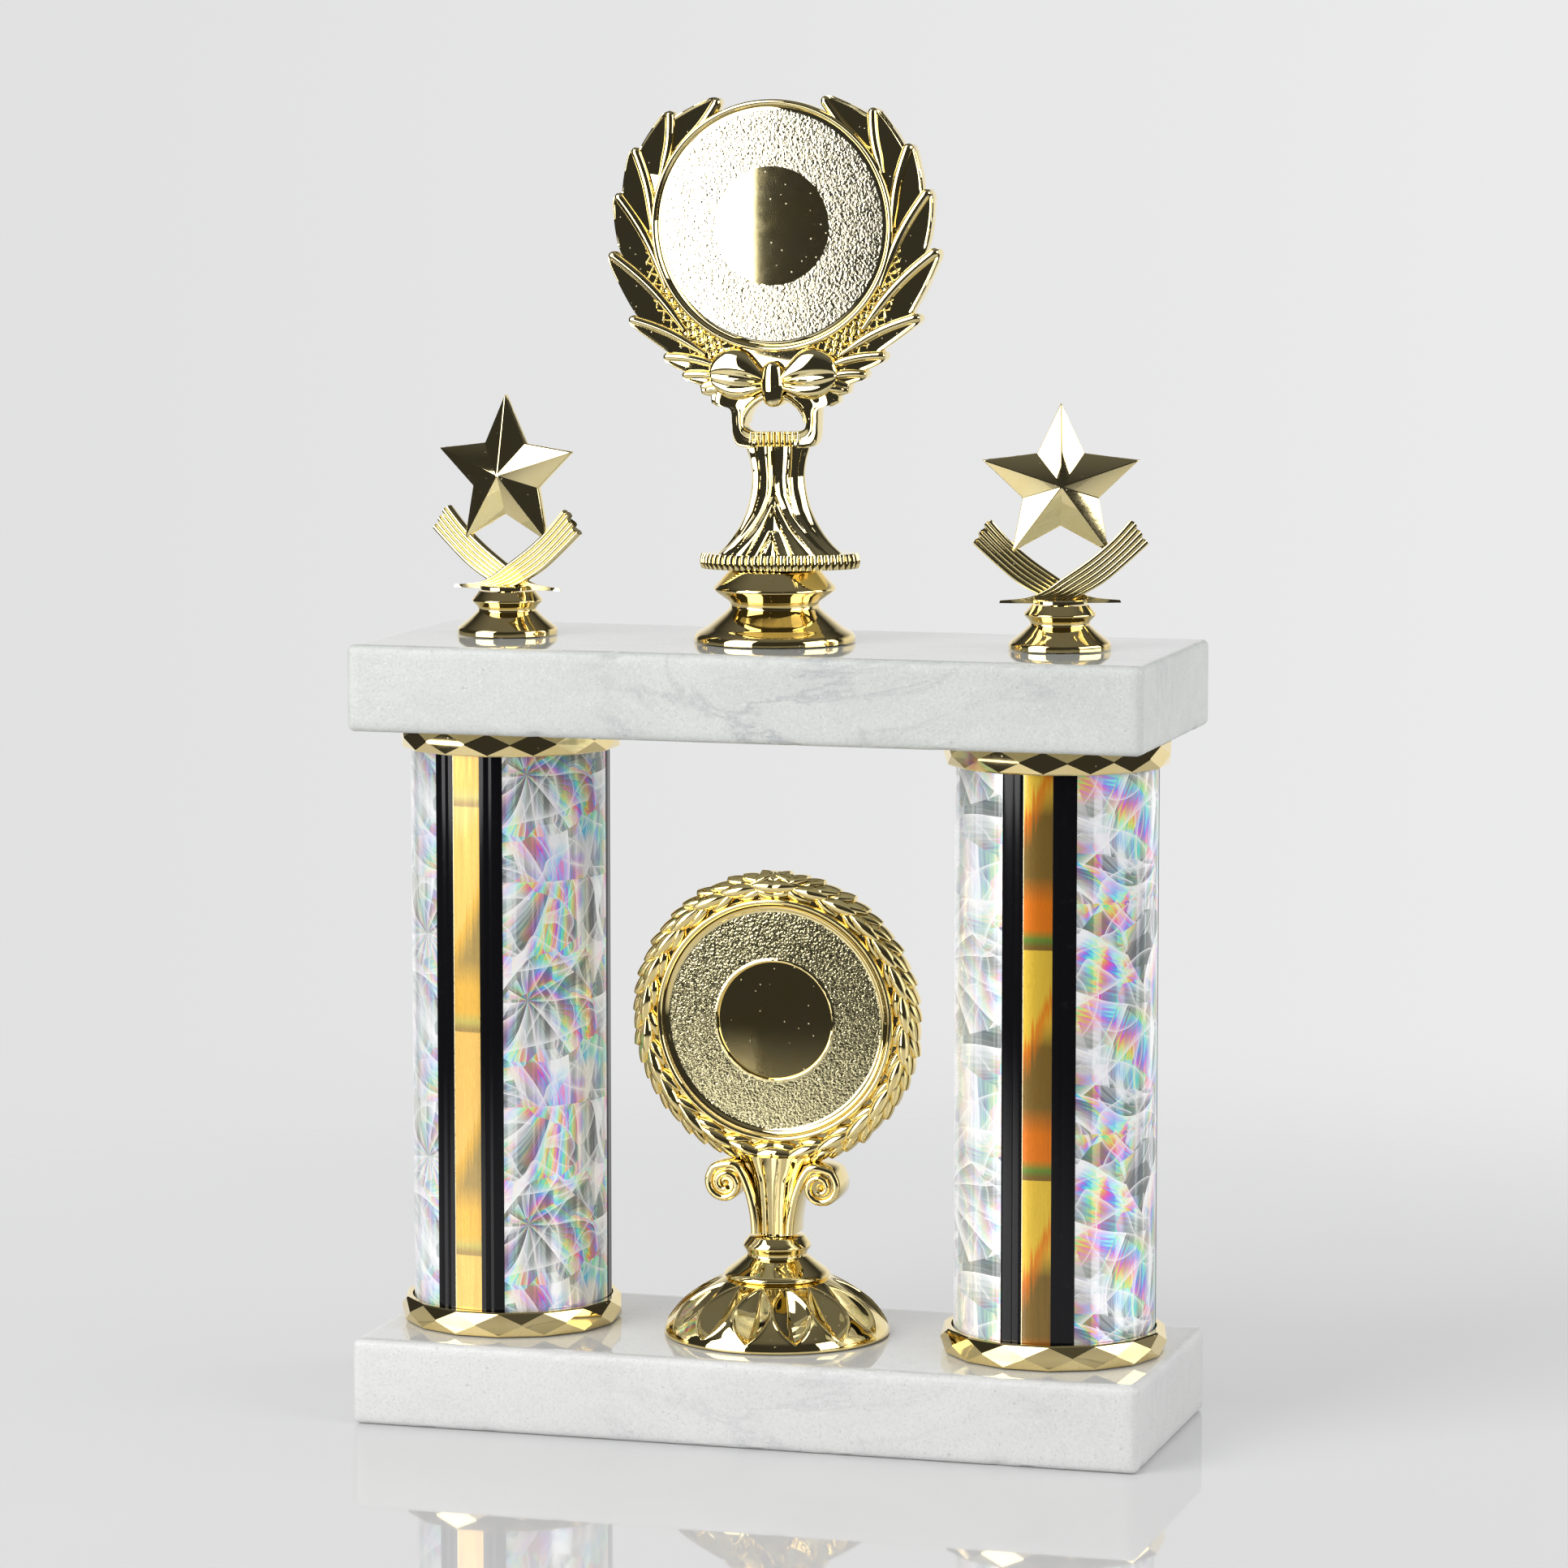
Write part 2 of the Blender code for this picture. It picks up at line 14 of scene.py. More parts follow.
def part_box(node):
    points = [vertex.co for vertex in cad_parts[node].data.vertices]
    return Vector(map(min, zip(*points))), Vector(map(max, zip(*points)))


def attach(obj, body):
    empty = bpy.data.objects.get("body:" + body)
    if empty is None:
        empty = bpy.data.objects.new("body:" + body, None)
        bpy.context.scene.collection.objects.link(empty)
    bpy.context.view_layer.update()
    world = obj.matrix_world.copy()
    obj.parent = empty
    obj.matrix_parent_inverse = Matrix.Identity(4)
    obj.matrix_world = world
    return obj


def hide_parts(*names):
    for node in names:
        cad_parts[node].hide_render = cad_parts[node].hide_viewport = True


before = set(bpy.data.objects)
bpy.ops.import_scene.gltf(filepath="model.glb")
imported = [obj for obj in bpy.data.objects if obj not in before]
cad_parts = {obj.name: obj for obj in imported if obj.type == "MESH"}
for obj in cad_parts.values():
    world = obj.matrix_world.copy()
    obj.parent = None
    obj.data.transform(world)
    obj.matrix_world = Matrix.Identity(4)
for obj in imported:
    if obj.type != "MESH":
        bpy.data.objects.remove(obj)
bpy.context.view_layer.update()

bl_info = {
    "name": "Two-column presentation award",
    "version": (1, 0, 0),
    "blender": (4, 5, 0),
    "location": "3D View > Sidebar > Award",
    "description": "Builds a marble and gilt award with two film-wrapped columns and its studio stage",
    "category": "Object",
}

MM = 0.001
FRONT, BACK = -1, 1
SIDES = ("left", "right")


# Shapes


class Skin:
    """The points and faces of one piece in millimetres, before they become a mesh."""

    def __init__(self):
        self.points = []
        self.faces = []
        self.finishes = []

    def rows(self, rows, round_along=False, finish=0):
        """Skins closed rows of points that have one length.

        The first and last rows are capped, unless round_along joins them.
        """
        first, across, along = len(self.points), len(rows[0]), len(rows)
        for row in rows:
            self.points.extend(row)
        faces = []
        for i in range(along if round_along else along - 1):
            lower, upper = first + i * across, first + (i + 1) % along * across
            for j in range(across):
                k = (j + 1) % across
                faces.append((lower + j, lower + k, upper + k, upper + j))
        if not round_along:
            faces.append(tuple(range(first, first + across)))
            faces.append(tuple(range(first + (along - 1) * across, first + along * across)))
        self.faces.extend(faces)
        self.finishes.extend([finish] * len(faces))

    def take(self, mesh):
        """Adds a mesh that is already in millimetres."""
        first = len(self.points)
        self.points.extend(tuple(v.co) for v in mesh.vertices)
        self.faces.extend(tuple(first + i for i in face.vertices) for face in mesh.polygons)
        self.finishes.extend([0] * len(mesh.polygons))


def curve(points, count):
    """A number of steps along a smooth line through points of any dimension."""
    last = len(points) - 1
    found = []
    for step in range(count):
        place = step * last / (count - 1)
        i = min(int(place), last - 1)
        t = place - i
        around = points[max(i - 1, 0)], points[i], points[i + 1], points[min(i + 2, last)]
        spot = []
        for a, b, c, d in zip(*around):
            square, cube = 2 * a - 5 * b + 4 * c - d, 3 * b - a - 3 * c + d
            spot.append(0.5 * (2 * b + (c - a) * t + square * t * t + cube * t**3))
        found.append(tuple(spot))
    return found


def between(value, low, high):
    """0 at or below low, 1 at or above high, and an even ease between."""
    share = min(1, max(0, (value - low) / (high - low)))
    return share * share * (3 - 2 * share)


def follow(table, place):
    """The value at a place in an ascending table of (place, value)."""
    if place <= table[0][0]:
        return table[0][1]
    for (a, low), (b, high) in zip(table, table[1:]):
        if place <= b:
            return low + (high - low) * (place - a) / (b - a)
    return table[-1][1]


def softened(profile, radius, steps=3):
    """An open profile with each inner corner rounded off."""
    found = [profile[0]]
    for before, corner, after in zip(profile, profile[1:], profile[2:]):
        b, c, a = Vector(before), Vector(corner), Vector(after)
        reach = min(radius, (b - c).length * 0.45, (a - c).length * 0.45)
        start, end = c + (b - c).normalized() * reach, c + (a - c).normalized() * reach
        for step in range(steps + 1):
            t = step / steps
            found.append(tuple(start * (1 - t) ** 2 + c * 2 * t * (1 - t) + end * t * t))
    found.append(profile[-1])
    return found


def circle(radius, height, steps, shift=0.0):
    """Points round the upright axis, turned on by a share of a step."""
    angles = [2 * pi * (step + shift) / steps for step in range(steps)]
    return [(radius * cos(a), radius * sin(a), height) for a in angles]


def turned(skin, profile, steps=128):
    """A closed (radius, height) outline turned about the upright axis."""
    skin.rows([circle(radius, height, steps) for radius, height in profile], round_along=True)


def band(skin, low, high, front, along=24, across=12):
    """A moulded band between two (x, z) edges, the same on both faces.

    front(s, t) is how far a face stands out, for s from the low edge to the high one and t along.
    """
    shares = [k / across for k in range(across + 1)]
    rows = []
    for step, (a, b) in enumerate(zip(curve(low, along), curve(high, along))):
        t = step / (along - 1)
        face = [(a[0] + (b[0] - a[0]) * s, front(s, t), a[1] + (b[1] - a[1]) * s) for s in shares]
        rows.append(both_faces(face))
    skin.rows(rows)


def both_faces(face):
    """A row of (x, depth, z) on the front face, and back along the back face."""
    return [(x, -depth, z) for x, depth, z in face] + [(x, depth, z) for x, depth, z in reversed(face)]


def dome(share):
    """The height of a round arch across a share from 0 to 1."""
    return sqrt(max(0, 1 - (2 * share - 1) ** 2))


def offset_edges(path, width):
    """The two edges of a strip along an (x, z) path. width(t) is half its width."""
    low, high = [], []
    last = len(path) - 1
    for i, (x, z) in enumerate(path):
        before, after = path[max(i - 1, 0)], path[min(i + 1, last)]
        run = Vector((after[0] - before[0], after[1] - before[1])).normalized()
        half = width(i / last)
        low.append((x + run.y * half, z - run.x * half))
        high.append((x - run.y * half, z + run.x * half))
    return low, high


def mirrored(points, side):
    return [(side * x, z) for x, z in points]


def polar(angle, radius, lift):
    """An (x, z) point at an angle from straight up, clockwise from the front, round a disc's centre."""
    return radius * sin(radians(angle)), lift + radius * cos(radians(angle))


def bead(skin, centre, size, steps):
    """A rounded bead with its own half sizes."""
    x, y, z = centre
    rows = []
    for i in range(1, steps):
        up = pi * i / steps
        ring = circle(sin(up), -cos(up), 2 * steps)
        rows.append([(x + size[0] * p, y + size[1] * q, z + size[2] * r) for p, q, r in ring])
    skin.rows(rows)


def make_piece(skin, name, finishes, body, nodes, origin=(0, 0, 0), tilt=(0, 0, 0), sharp=40):
    """The skin as a piece that rides on a body, stands for its nodes and takes a slot's finish."""
    mesh = bpy.data.meshes.new(name)
    mesh.from_pydata([(x * MM, y * MM, z * MM) for x, y, z in skin.points], [], skin.faces)
    mesh.polygons.foreach_set("material_index", skin.finishes)
    form = bmesh.new()
    form.from_mesh(mesh)
    bmesh.ops.recalc_face_normals(form, faces=form.faces)
    form.to_mesh(mesh)
    form.free()
    mesh.shade_smooth()
    mesh.set_sharp_from_angle(angle=radians(sharp))
    for finish in finishes:
        mesh.materials.append(finish)
    piece = bpy.data.objects.new(name, mesh)
    piece.location = origin
    piece.rotation_euler = tilt
    bpy.context.scene.collection.objects.link(piece)
    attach(piece, body)
    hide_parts(*nodes)
    return piece


# Finishes


def new_finish(name):
    material = bpy.data.materials.new(name)
    material.use_nodes = True
    return material, material.node_tree, material.node_tree.nodes["Principled BSDF"]


def feed(tree, node, inputs):
    """Sets or links a node's inputs by name or number."""
    for key, value in inputs.items():
        if isinstance(value, bpy.types.NodeSocket):
            tree.links.new(value, node.inputs[key])
        else:
            node.inputs[key].default_value = value


def add(tree, kind, inputs=None, **settings):
    """A node with its settings and inputs."""
    node = tree.nodes.new("ShaderNode" + kind)
    for key, value in settings.items():
        setattr(node, key, value)
    feed(tree, node, inputs or {})
    return node


def maths(tree, operation, a, b=0.0, c=0.0):
    return add(tree, "Math", {0: a, 1: b, 2: c}, operation=operation).outputs[0]


def times(tree, a, b, c=0.0):
    """a times b, plus c."""
    return maths(tree, "MULTIPLY_ADD", a, b, c)


def swing(tree, value, middle, gain, base):
    """The base, plus a gain on how far the value is from its middle."""
    return times(tree, maths(tree, "SUBTRACT", value, middle), gain, base)


def remap(tree, value, low, high, start, end):
    """The value's place between low and high, as a place between start and end."""
    return add(tree, "MapRange", {0: value, 1: low, 2: high, 3: start, 4: end}).outputs[0]


def axes(tree, vector):
    return add(tree, "SeparateXYZ", {0: vector}).outputs


def vector_maths(tree, operation, a, b=(0, 0, 0)):
    return add(tree, "VectorMath", {0: a, 1: b}, operation=operation).outputs[0]


def ramp(tree, value, *stops, mode="LINEAR"):
    """A colour ramp through (place, grey or colour) stops."""
    node = add(tree, "ValToRGB", {0: value})
    node.color_ramp.interpolation = mode
    elements = node.color_ramp.elements
    while len(elements) < len(stops):
        elements.new(0.5)
    for element, (place, colour) in zip(elements, stops):
        element.position = place
        element.color = (colour,) * 3 + (1,) if isinstance(colour, (int, float)) else (*colour, 1)
    return node.outputs[0]


def mix(tree, share, a, b, mode="MIX"):
    """Two colours mixed by a share."""
    return add(tree, "Mix", {0: share, 6: a, 7: b}, data_type="RGBA", blend_type=mode).outputs[2]


def local(tree):
    return add(tree, "TexCoord").outputs["Object"]


def grain(tree, scale, detail=2.0, roughness=0.5, vector=None, distortion=0.0):
    """Soft noise in a piece's own space, with its scale in waves to a metre."""
    inputs = {
        "Vector": vector or local(tree),
        "Scale": scale,
        "Detail": detail,
        "Roughness": roughness,
        "Distortion": distortion,
    }
    return add(tree, "TexNoise", inputs).outputs[0]


def flat_noise(tree, place, scale, detail):
    inputs = {"Vector": place, "Scale": scale, "Detail": detail}
    return add(tree, "TexNoise", inputs, noise_dimensions="2D").outputs


def line_noise(tree, place, scale, detail=2.0):
    inputs = {"W": place, "Scale": scale, "Detail": detail}
    return add(tree, "TexNoise", inputs, noise_dimensions="1D").outputs[0]


def specks(tree, scale, size):
    """Small round specks, 1 inside and 0 outside, on a random share of the cells."""
    cells = add(tree, "TexVoronoi", {"Vector": local(tree), "Scale": scale, "Randomness": 1.0}).outputs
    inside = maths(tree, "LESS_THAN", cells["Distance"], size)
    chance = add(tree, "SeparateColor", {0: cells["Color"]}).outputs[0]
    return times(tree, inside, maths(tree, "GREATER_THAN", chance, 0.82))


def bump(tree, height, distance, strength=1.0, below=None):
    inputs = {"Height": height, "Distance": distance, "Strength": strength}
    if below:
        inputs["Normal"] = below
    return add(tree, "Bump", inputs).outputs[0]


def gilt_finish(name, colour, roughness, waviness=1.0):
    """Thin bright plating over moulded plastic: slightly wavy, with dust and pinholes."""
    material, tree, shader = new_finish(name)
    dust = specks(tree, 900, 0.13)
    warmth = ramp(tree, grain(tree, 160, 3), (0.35, 0.0), (0.75, 1.0))
    deep = tuple(channel * share for channel, share in zip(colour, (0.98, 0.94, 0.82)))
    tone = mix(tree, warmth, (*colour, 1), (*deep, 1))
    tone = mix(tree, times(tree, dust, 0.3), tone, (0.95, 0.93, 0.86, 1))
    feed(tree, shader, {"Base Color": tone, "Metallic": 1.0})
    haze = grain(tree, 420, 4, 0.65)
    rough = remap(tree, haze, 0.4, 0.75, roughness, roughness + 0.008)
    feed(tree, shader, {"Roughness": times(tree, dust, 0.22, rough)})
    wave = bump(tree, grain(tree, 130, 1), 0.000055 * waviness, 1.0)
    wave = bump(tree, grain(tree, 1100, 2), 0.0000035 * waviness, 1.0, wave)
    wave = bump(tree, dust, 0.00001, 0.5, wave)
    feed(tree, shader, {"Normal": wave})
    return material


def stipple_finish(name, colour, slope):
    """The same plating over a finely cast ground that breaks reflections up, with painted shade darkening its
    pits.
    """
    material, tree, shader = new_finish(name)
    coarse = grain(tree, 1750, 1.5, 0.5)
    # Painted shade: the ground's pits, the low spots of its bump, are darkened toward dark brown.
    pits = ramp(tree, coarse, (0.31, 1.0), (0.39, 0.0))
    tone = mix(tree, times(tree, pits, 0.8), (*colour, 1), (0.2, 0.16, 0.08, 1))
    feed(tree, shader, {"Base Color": tone, "Metallic": 1.0})
    rough = remap(tree, grain(tree, 700, 2), 0.35, 0.7, 0.05, 0.12)
    feed(tree, shader, {"Roughness": rough, "Normal": bump(tree, coarse, slope, 1.0)})
    return material


def marble_finish(name, colour, cloud, cloudiness, vein_share):
    """Fine pale marble with soft clouds, few veins, sugary grain, small pits and a polished top."""
    material, tree, shader = new_finish(name)
    place = local(tree)
    drift = vector_maths(tree, "MULTIPLY", place, (0.7, 1.0, 1.5))
    clouds = ramp(tree, grain(tree, 30, 6, 0.66, drift, 0.3), (0.36, 0.0), (0.66, cloudiness))
    tone = mix(tree, clouds, (*colour, 1), (*cloud, 1))
    veins = grain(tree, 19, 6, 0.6, drift, 1.4)
    line = maths(tree, "ABSOLUTE", maths(tree, "SUBTRACT", veins, 0.5))
    line = ramp(tree, line, (0.0, 1.0), (0.012, 0.4), (0.035, 0.0))
    reach = ramp(tree, grain(tree, 9, 2), (0.52, 0.0), (0.68, 1.0))
    veined = times(tree, times(tree, line, reach), vein_share)
    tone = mix(tree, veined, tone, (0.30, 0.32, 0.34, 1))
    sugar = grain(tree, 1700, 3, 0.75)
    tone = mix(tree, 0.42, tone, ramp(tree, sugar, (0.28, 0.62), (0.5, 0.95), (0.72, 1.0)), "MULTIPLY")
    crystals = grain(tree, 1250, 2, 0.5)
    tone = mix(tree, ramp(tree, crystals, (0.58, 0.0), (0.74, 0.22)), tone, (0.80, 0.82, 0.79, 1))
    tone = mix(tree, times(tree, specks(tree, 420, 0.15), 0.25), tone, (0.28, 0.29, 0.27, 1))
    tone = mix(tree, times(tree, specks(tree, 900, 0.2), 0.35), tone, (0.35, 0.36, 0.34, 1))
    feed(tree, shader, {"Base Color": tone, "Subsurface Weight": 0.06})
    feed(tree, shader, {"Subsurface Radius": (0.003, 0.003, 0.0027), "IOR": 1.52})
    up = axes(tree, add(tree, "NewGeometry").outputs["Normal"])[2]
    polish = ramp(tree, up, (0.85, 0.0), (0.98, 1.0))
    ground = remap(tree, grain(tree, 300, 3), 0.3, 0.7, 0.3, 0.46)
    rough = add(tree, "Mix", {0: polish, 2: ground, 3: 0.045}, data_type="FLOAT").outputs[0]
    feed(tree, shader, {"Roughness": rough})
    rough_face = maths(tree, "SUBTRACT", 1.0, polish)
    relief = add(tree, "Bump", {"Height": sugar, "Distance": 0.00009, "Strength": rough_face}).outputs[0]
    feed(tree, shader, {"Normal": relief})
    return material


# The film's pattern repeats at this spacing up a column, in millimetres.
FILM_REPEAT = 50.0


def wrapped_place(tree, radius, repeat=0.0):
    """(x, y) on the flat film in millimetres: round the column, with 0 at the front, and up it."""
    x, y, z = axes(tree, local(tree))
    around = times(tree, maths(tree, "ARCTAN2", x, times(tree, y, -1.0)), radius)
    up = times(tree, z, 1 / MM)
    if repeat:
        up = maths(tree, "FLOORED_MODULO", up, repeat)
    return add(tree, "CombineXYZ", {0: around, 1: up}).outputs[0]


def fans(tree, place, size, seed, wedges, sway=3.0):
    """Broken cells of pleated fans.

    Gives the pleat's fall from its crisp edge, the pleat's chance, the cell's three chances, the
    turn through the fan and the distance from its root.
    """
    drift = flat_noise(tree, place, 0.05, 0.0)["Color"]
    sideways = vector_maths(tree, "MULTIPLY", drift, (2 * sway, 2 * sway, 0))
    bent = vector_maths(tree, "ADD", place, sideways)
    bent = vector_maths(tree, "ADD", bent, (seed * 31.7, seed * 17.3, 0))
    inputs = {"Vector": bent, "Scale": 1 / size, "Randomness": 1.0}
    cells = add(tree, "TexVoronoi", inputs, voronoi_dimensions="2D").outputs
    chance = add(tree, "SeparateColor", {0: cells["Color"]}).outputs
    lean = vector_maths(tree, "SUBTRACT", cells["Color"], (0.5, 0.5, 0.5))
    lean = vector_maths(tree, "MULTIPLY", lean, (2.3 * size, 2.3 * size, 0))
    apart = vector_maths(tree, "SUBTRACT", bent, vector_maths(tree, "ADD", cells["Position"], lean))
    x, y, _ = axes(tree, apart)
    distance = add(tree, "VectorMath", {0: apart}, operation="LENGTH").outputs["Value"]
    curl = times(tree, maths(tree, "SUBTRACT", chance[2], 0.5), 2.6 / size)
    angle = times(tree, distance, curl, maths(tree, "ARCTAN2", y, x))
    turn = times(tree, angle, wedges / (2 * pi), times(tree, chance[0], 7.0))
    fall = maths(tree, "SUBTRACT", 1.0, maths(tree, "FRACT", turn))
    number = times(tree, chance[1], 57.0, maths(tree, "FLOOR", turn))
    pleat = add(tree, "TexWhiteNoise", {"W": number}, noise_dimensions="1D").outputs["Value"]
    return fall, pleat, chance, turn, distance


RAINBOW = (
    (0.0, (1.0, 0.10, 0.45)), (0.13, (0.55, 0.14, 1.0)), (0.27, (0.10, 0.32, 1.0)), (0.42, (0.08, 0.88, 1.0)),
    (0.57, (0.20, 1.0, 0.35)), (0.70, (1.0, 0.92, 0.16)), (0.84, (1.0, 0.42, 0.10)), (1.0, (1.0, 0.10, 0.45)),
)


def prism_finish(name, radius, seed, painted_light_from, painted_light_to):
    """Silvered holographic film: crisp pleated fans that split white light, under a clear gloss, with painted
    upright highlight bands, and painted light that makes the contrast and rainbow grow toward one side of the
    column.
    """
    material, tree, shader = new_finish(name)
    place = wrapped_place(tree, radius, FILM_REPEAT)
    across, up, _ = axes(tree, place)
    fall, pleat, chance, turn, distance = fans(tree, place, 30.0, seed, 17.0)
    fall_b, pleat_b, chance_b, turn_b, distance_b = fans(tree, place, 17.0, seed + 3, 11.0)
    fall_c, pleat_c, _, turn_c, _ = fans(tree, place, 10.0, seed + 8, 6.0, 1.0)
    over = maths(tree, "GREATER_THAN", chance_b[2], 0.55)
    under = maths(tree, "SUBTRACT", 1.0, over)

    def either(first, second):
        return times(tree, over, second, times(tree, under, first))

    drop, share, swept = either(fall, fall_b), either(pleat, pleat_b), either(turn, turn_b)
    light = times(tree, share, 0.45, times(tree, maths(tree, "POWER", drop, 1.7), 0.62))
    light = swing(tree, pleat_c, 0.5, 0.34, light)
    along_rules = times(tree, either(distance, distance_b), 0.12)
    rules = add(tree, "CombineXYZ", {0: times(tree, swept, 16.0), 1: along_rules}).outputs[0]
    fine = flat_noise(tree, rules, 1.0, 2.0)[0]
    light = swing(tree, fine, 0.5, 0.5, light)
    # Painted highlight: soft upright bright bands are added round the column, standing in for reflections of
    # the light boxes.
    upright = line_noise(tree, maths(tree, "ADD", across, seed * 7), 0.32)
    light = maths(tree, "ADD", light, ramp(tree, upright, (0.5, 0.0), (0.58, 0.22), (0.68, 0.3)))
    # Painted light: between these two places round the column, the pattern's contrast and its rainbow grow,
    # as on the side where the light falls.
    spread = remap(tree, across, painted_light_from, painted_light_to, 0.0, 1.0)
    light = swing(tree, light, 0.66, times(tree, spread, 0.45, 0.55), 0.66)
    silver = ramp(
        tree, light, (0.12, (0.15, 0.17, 0.17)), (0.36, (0.42, 0.455, 0.45)), (0.6, (0.72, 0.76, 0.76)),
        (0.84, (1.0, 1.0, 1.0)),
    )
    ring = maths(tree, "SUBTRACT", 1.0, maths(tree, "FRACT", times(tree, distance, 0.06, chance[1])))
    # Each bright line's place, sharpness and strength.
    lines = [(drop, 20.0, 1.0), (fall_c, 26.0, 1.0), (fall, 24.0, 1.0), (ring, 16.0, 0.9)]
    wander = flat_noise(tree, place, 0.06, 1.0)[0]
    for per_across, per_up, bend in ((0.055, 0.035, 0.9), (-0.04, 0.03, 1.2)):
        arc = times(tree, across, per_across, times(tree, up, per_up, seed))
        lines.append((maths(tree, "FRACT", times(tree, wander, bend, arc)), 34.0, 0.85))
    crease = 0.0
    for line, sharpness, strength in lines:
        edge = times(tree, maths(tree, "POWER", line, sharpness), strength)
        crease = maths(tree, "MAXIMUM", crease, edge)
    hue = times(tree, distance, 0.035, times(tree, swept, 0.55))
    for part, gain in ((across, 0.13), (turn_c, 0.2), (fine, 0.8)):
        hue = times(tree, part, gain, hue)
    rainbow = ramp(tree, maths(tree, "FRACT", hue), *RAINBOW)
    zones = ramp(tree, grain(tree, 0.085, 2, 0.5, place), (0.42, 0.08), (0.55, 1.0))
    # Painted light: the rainbow is stronger toward one side of the column.
    amount = times(tree, zones, times(tree, spread, 0.85, 0.15))
    amount = times(tree, amount, ramp(tree, light, (0.2, 0.4), (0.5, 1.0), (0.95, 0.6)))
    glowing = mix(tree, 0.62, mix(tree, 1.0, silver, rainbow, "MULTIPLY"), rainbow)
    tone = mix(tree, times(tree, crease, 0.9), mix(tree, amount, silver, glowing), (1, 1, 1, 1))
    rough = remap(tree, light, 0.1, 0.9, 0.42, 0.24)
    feed(tree, shader, {"Base Color": tone, "Metallic": 0.25, "Roughness": rough})
    feed(tree, shader, {"Coat Weight": 0.85, "Coat Roughness": 0.03})
    return material


def stripe_finish(name, colours, start):
    """Gold holographic stripe whose yellow flames give way to brown, once to each repeat of the film."""
    material, tree, shader = new_finish(name)
    yellow, orange, brown, green = colours
    x, _, z = axes(tree, local(tree))
    across, down = times(tree, x, 1 / MM), times(tree, z, -1 / MM)
    ragged = line_noise(tree, maths(tree, "ADD", across, start), 1.8, 3.0)
    part = maths(tree, "FRACT", times(tree, maths(tree, "ADD", down, start), 1 / FILM_REPEAT))
    tone = ramp(
        tree, part, (0.0, yellow), (0.30, yellow), (0.42, brown), (0.68, brown), (0.80, orange),
        (0.91, orange), (0.955, green), (0.985, brown),
    )
    reach = maths(tree, "ADD", part, times(tree, across, 0.044, times(tree, ragged, 0.2)))
    flame = ramp(tree, reach, (0.46, 1.0), (0.5, 0.0), (0.9, 0.0))
    fringe = ramp(tree, reach, (0.43, 0.0), (0.49, 1.0), (0.53, 0.7), (0.62, 0.0))
    tone = mix(tree, flame, tone, (*yellow, 1))
    tone = mix(tree, times(tree, fringe, 0.9), tone, (*orange, 1))
    lines = add(tree, "CombineXYZ", {0: times(tree, across, 1.1), 1: times(tree, down, 0.05)}).outputs[0]
    brushed = grain(tree, 1.0, 3, 0.6, lines)
    tone = mix(tree, 0.5, tone, ramp(tree, brushed, (0.3, 0.5), (0.7, 1.0)), "MULTIPLY")
    rough = remap(tree, brushed, 0.3, 0.7, 0.36, 0.22)
    feed(tree, shader, {"Base Color": tone, "Metallic": 0.55, "Roughness": rough})
    feed(tree, shader, {"Coat Weight": 0.6, "Coat Roughness": 0.04})
    return material


def edge_finish(name):
    """The pale line where the gold stripe meets the ink."""
    material, tree, shader = new_finish(name)
    rough = ramp(tree, grain(tree, 800, 2), (0.3, 0.2), (0.7, 0.4))
    feed(tree, shader, {"Base Color": (0.98, 0.86, 0.55, 1), "Metallic": 0.8, "Roughness": rough})
    return material


def ink_finish(name):
    """Gloss black printed edge, with light scuffs."""
    material, tree, shader = new_finish(name)
    scuffs = ramp(tree, grain(tree, 500, 4, 0.7), (0.6, 0.0), (0.85, 1.0))
    tone = mix(tree, scuffs, (0.004, 0.004, 0.005, 1), (0.012, 0.012, 0.013, 1))
    feed(tree, shader, {"Base Color": tone})
    rough = remap(tree, scuffs, 0.0, 1.0, 0.07, 0.16)
    feed(tree, shader, {"Roughness": rough, "Specular IOR Level": 0.3})
    return material


def board_finish(name):
    """Wound grey-brown board with the spiral joint of its plies."""
    material, tree, shader = new_finish(name)
    place = wrapped_place(tree, 21.5)
    fibres = grain(tree, 0.6, 4, 0.7, vector_maths(tree, "MULTIPLY", place, (1.0, 4.0, 1.0)))
    split = axes(tree, place)
    joint = maths(tree, "PINGPONG", times(tree, split[0], 0.45, split[1]), 30.0)
    joint = ramp(tree, maths(tree, "DIVIDE", joint, 30.0), (0.0, 0.0), (0.03, 1.0))
    tone = mix(tree, fibres, (0.36, 0.29, 0.21, 1), (0.52, 0.44, 0.34, 1))
    tone = mix(tree, joint, (0.2, 0.16, 0.12, 1), tone)
    feed(tree, shader, {"Base Color": tone})
    rough = remap(tree, fibres, 0.3, 0.7, 0.8, 0.95)
    feed(tree, shader, {"Roughness": rough, "Normal": bump(tree, fibres, 0.0001, 0.7)})
    return material


def steel_finish(name):
    """Zinc-plated steel: cool spangle with fine turning lines."""
    material, tree, shader = new_finish(name)
    spangle = add(tree, "TexVoronoi", {"Vector": local(tree), "Scale": 900}).outputs["Color"]
    tone = mix(tree, 0.25, (0.62, 0.64, 0.67, 1), spangle, "MULTIPLY")
    feed(tree, shader, {"Base Color": tone, "Metallic": 1.0})
    split = axes(tree, local(tree))
    lines = line_noise(tree, times(tree, split[2], 6000.0), 1.0)
    rough = remap(tree, lines, 0.3, 0.7, 0.25, 0.48)
    feed(tree, shader, {"Roughness": rough, "Normal": bump(tree, lines, 0.00004, 0.6)})
    return material


# Marble slabs


